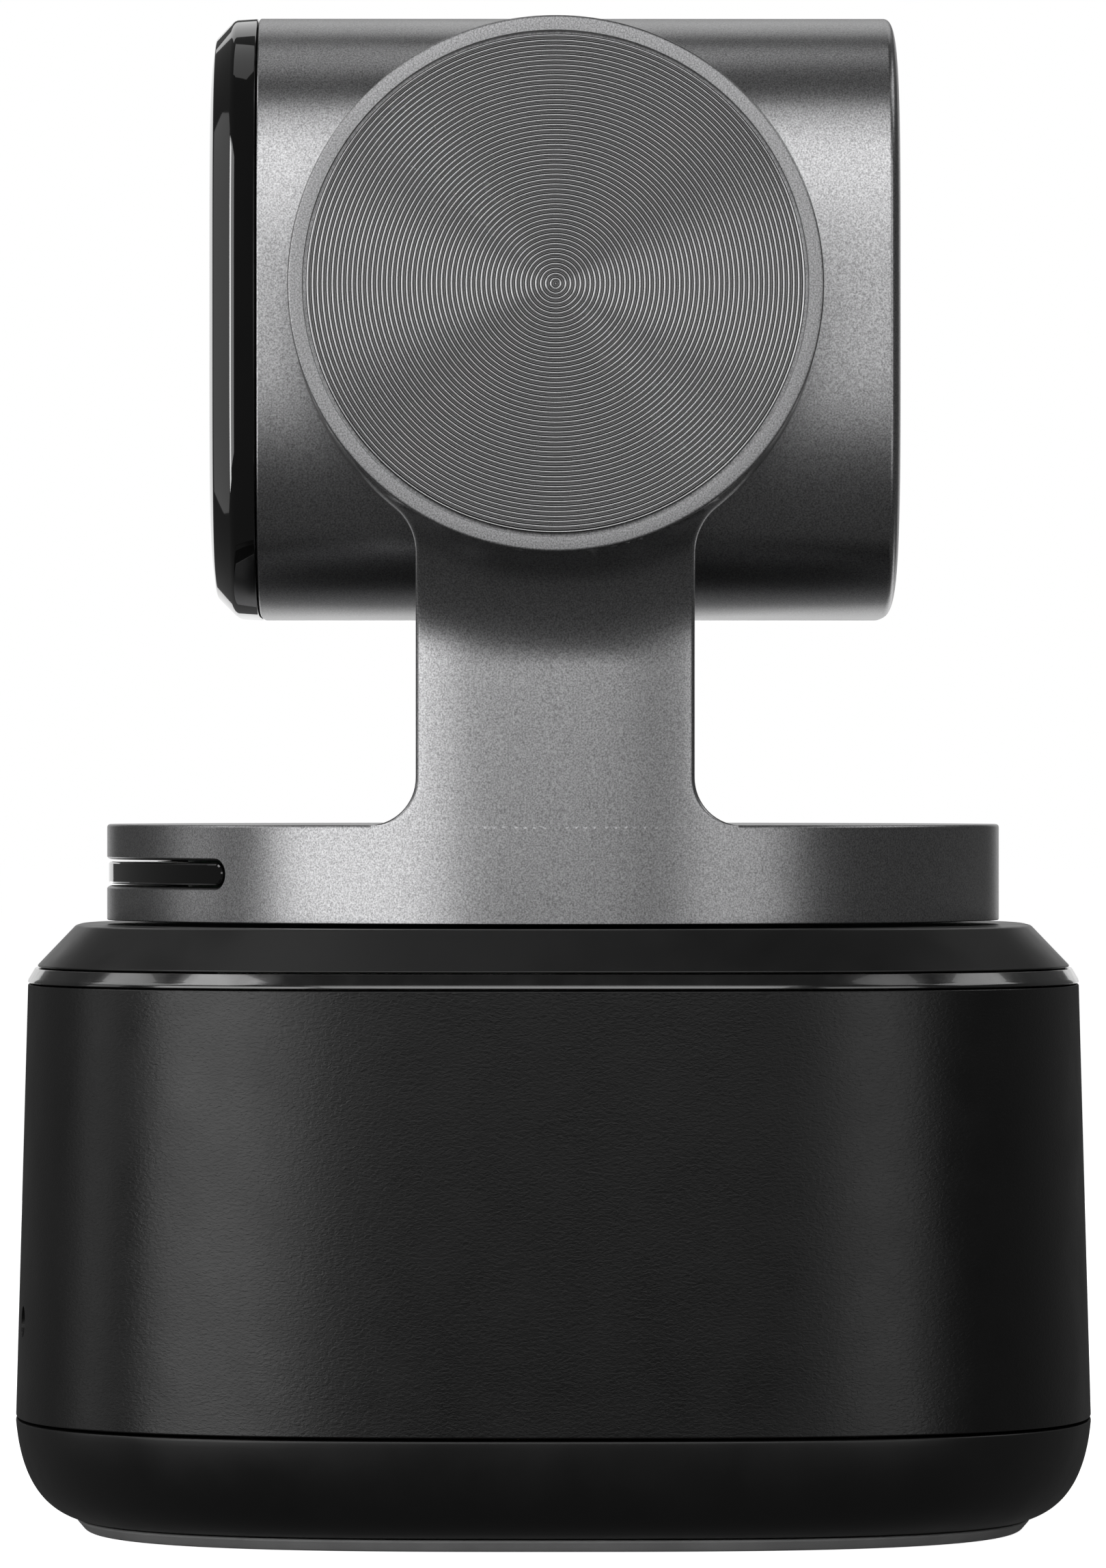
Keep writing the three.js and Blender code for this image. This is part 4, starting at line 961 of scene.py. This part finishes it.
def soft_light(name, place, aim, width, height, brightness):
    """A rectangular soft light that isn't seen by the camera. Its size doesn't change its brightness."""
    data = bpy.data.lights.new(name, "AREA")
    data.shape = "RECTANGLE"
    data.size, data.size_y = width * MM, height * MM
    data.energy = brightness * math.pi * data.size * data.size_y
    light = bpy.data.objects.new(name, data)
    bpy.context.scene.collection.objects.link(light)
    light.location = Vector(place) * MM
    light.rotation_euler = (Vector(aim) * MM - light.location).to_track_quat("-Z", "Y").to_euler()
    light.visible_camera = False
    return light


def link_light(light, state, pieces):
    """Lights only some pieces (INCLUDE), or keeps off them as a studio's black card does (EXCLUDE)."""
    group = bpy.data.collections.new(f"{light.name}_pieces")
    light.light_linking.receiver_collection = group
    for name in pieces:
        group.objects.link(bpy.data.objects[name])
    for entry in group.collection_objects:
        entry.light_linking.link_state = state


def make_lights():
    head, middle = (0, 0, 54), (0, 0, 35)
    bezel, window, wall, cup = "front_bezel_skin", "status_window_skin", "base_shell_skin", "bottom_cup_skin"
    key = soft_light("key_front_left", (184, -219, 72), middle, 260, 190, 2.3)
    soft_light("fill_front_right", (212, 215, 60), middle, 150, 190, 1.1)
    side = soft_light("side_left", (-60, -300, 60), middle, 110, 200, 0.5)
    high = soft_light("high_left", (-60, -290, 230), middle, 220, 120, 1.3)
    soft_light("high_right", (-60, 290, 230), middle, 220, 120, 1.3)
    bevel = soft_light("bevel_left", (74, -203, 276), middle, 120, 90, 3.0)
    soft_light("bevel_right", (74, 203, 276), middle, 90, 80, 0.9)
    soft_light("top", (-30, -50, 330), (0, 0, 30), 200, 160, 0.6)
    backdrop = soft_light("backdrop", (-400, 0, 55), middle, 300, 150, 0.8)
    soft_light("back_high", (-300, 0, 250), middle, 300, 200, 0.7)
    bounce = soft_light("floor_behind", (-220, 0, 3), (-220, 0, 100), 300, 280, 0.9)
    front_card = soft_light("card_high", (262, 0, 287), head, 300, 60, 1.5)
    card = soft_light("card_above_camera", (335, 0, 160), head, 300, 214, 2.2)
    wall_card = soft_light("card_for_the_wall", (335, 0, 160), head, 300, 214, 0.9)
    sliver = soft_light("bezel_sliver", (78, -290, 58), head, 105, 200, 9.0)
    for light in (high, bevel, front_card):
        link_light(light, "EXCLUDE", [bezel])
    link_light(card, "EXCLUDE", [bezel, wall])
    link_light(wall_card, "INCLUDE", [wall])
    link_light(backdrop, "EXCLUDE", [wall, cup])
    link_light(bounce, "EXCLUDE", [wall, cup, bezel])
    for light in (key, side):
        link_light(light, "EXCLUDE", [window])
    link_light(sliver, "INCLUDE", [bezel])


def make_world():
    """Even soft light from a dim room. The camera itself sees a plain white backdrop."""
    world = bpy.data.worlds.new("studio")
    bpy.context.scene.world = world
    world.use_nodes = True
    tree = world.node_tree
    room = tree.nodes["Background"]
    room.inputs["Color"].default_value = (0.08, 0.08, 0.08, 1)
    backdrop = tree.nodes.new("ShaderNodeBackground")
    backdrop.inputs["Color"].default_value = (1, 1, 1, 1)
    mix = tree.nodes.new("ShaderNodeMixShader")
    path = tree.nodes.new("ShaderNodeLightPath")
    tree.links.new(path.outputs["Is Camera Ray"], mix.inputs["Fac"])
    tree.links.new(room.outputs["Background"], mix.inputs[1])
    tree.links.new(backdrop.outputs["Background"], mix.inputs[2])
    tree.links.new(mix.outputs["Shader"], tree.nodes["World Output"].inputs["Surface"])


def make_floor():
    half = 4000
    corners = [(-half, -half, 0), (half, -half, 0), (half, half, 0), (-half, half, 0)]
    floor = solid("floor", (corners, [[0, 1, 2, 3]]))
    floor.data.transform(Matrix.Scale(MM, 4))
    floor.location.z = -0.02 * MM
    material, shader = new_material("pale_floor", grey(0.9), 0.9)
    pattern = Pattern(material, shader)
    pattern.colour(pattern.noise(40.0, detail=3), 0.2, 0.8, grey(0.89), grey(0.91))
    shader.inputs["Emission Color"].default_value = (1, 1, 1, 1)
    shader.inputs["Emission Strength"].default_value = 0.93
    floor.data.materials.append(material)
    floor.visible_glossy = False
    floor.visible_diffuse = False


# ---- Everything together -------------------------------------------------------------------------

bpy.context.scene.view_settings.view_transform = "Standard"

make_camera()
dress_cad_nodes()
for make in (
    make_foot_pad, make_bottom_cup, make_base_shell, make_trim_ring, make_top_cover, make_tripod_insert,
    make_usb_socket, make_turntable_arm, make_status_window, make_disc_cap, make_arm_cover, make_head_shell,
    make_front_bezel, make_front_panel, make_lens_parts,
):
    make()
make_world()
make_lights()
make_floor()
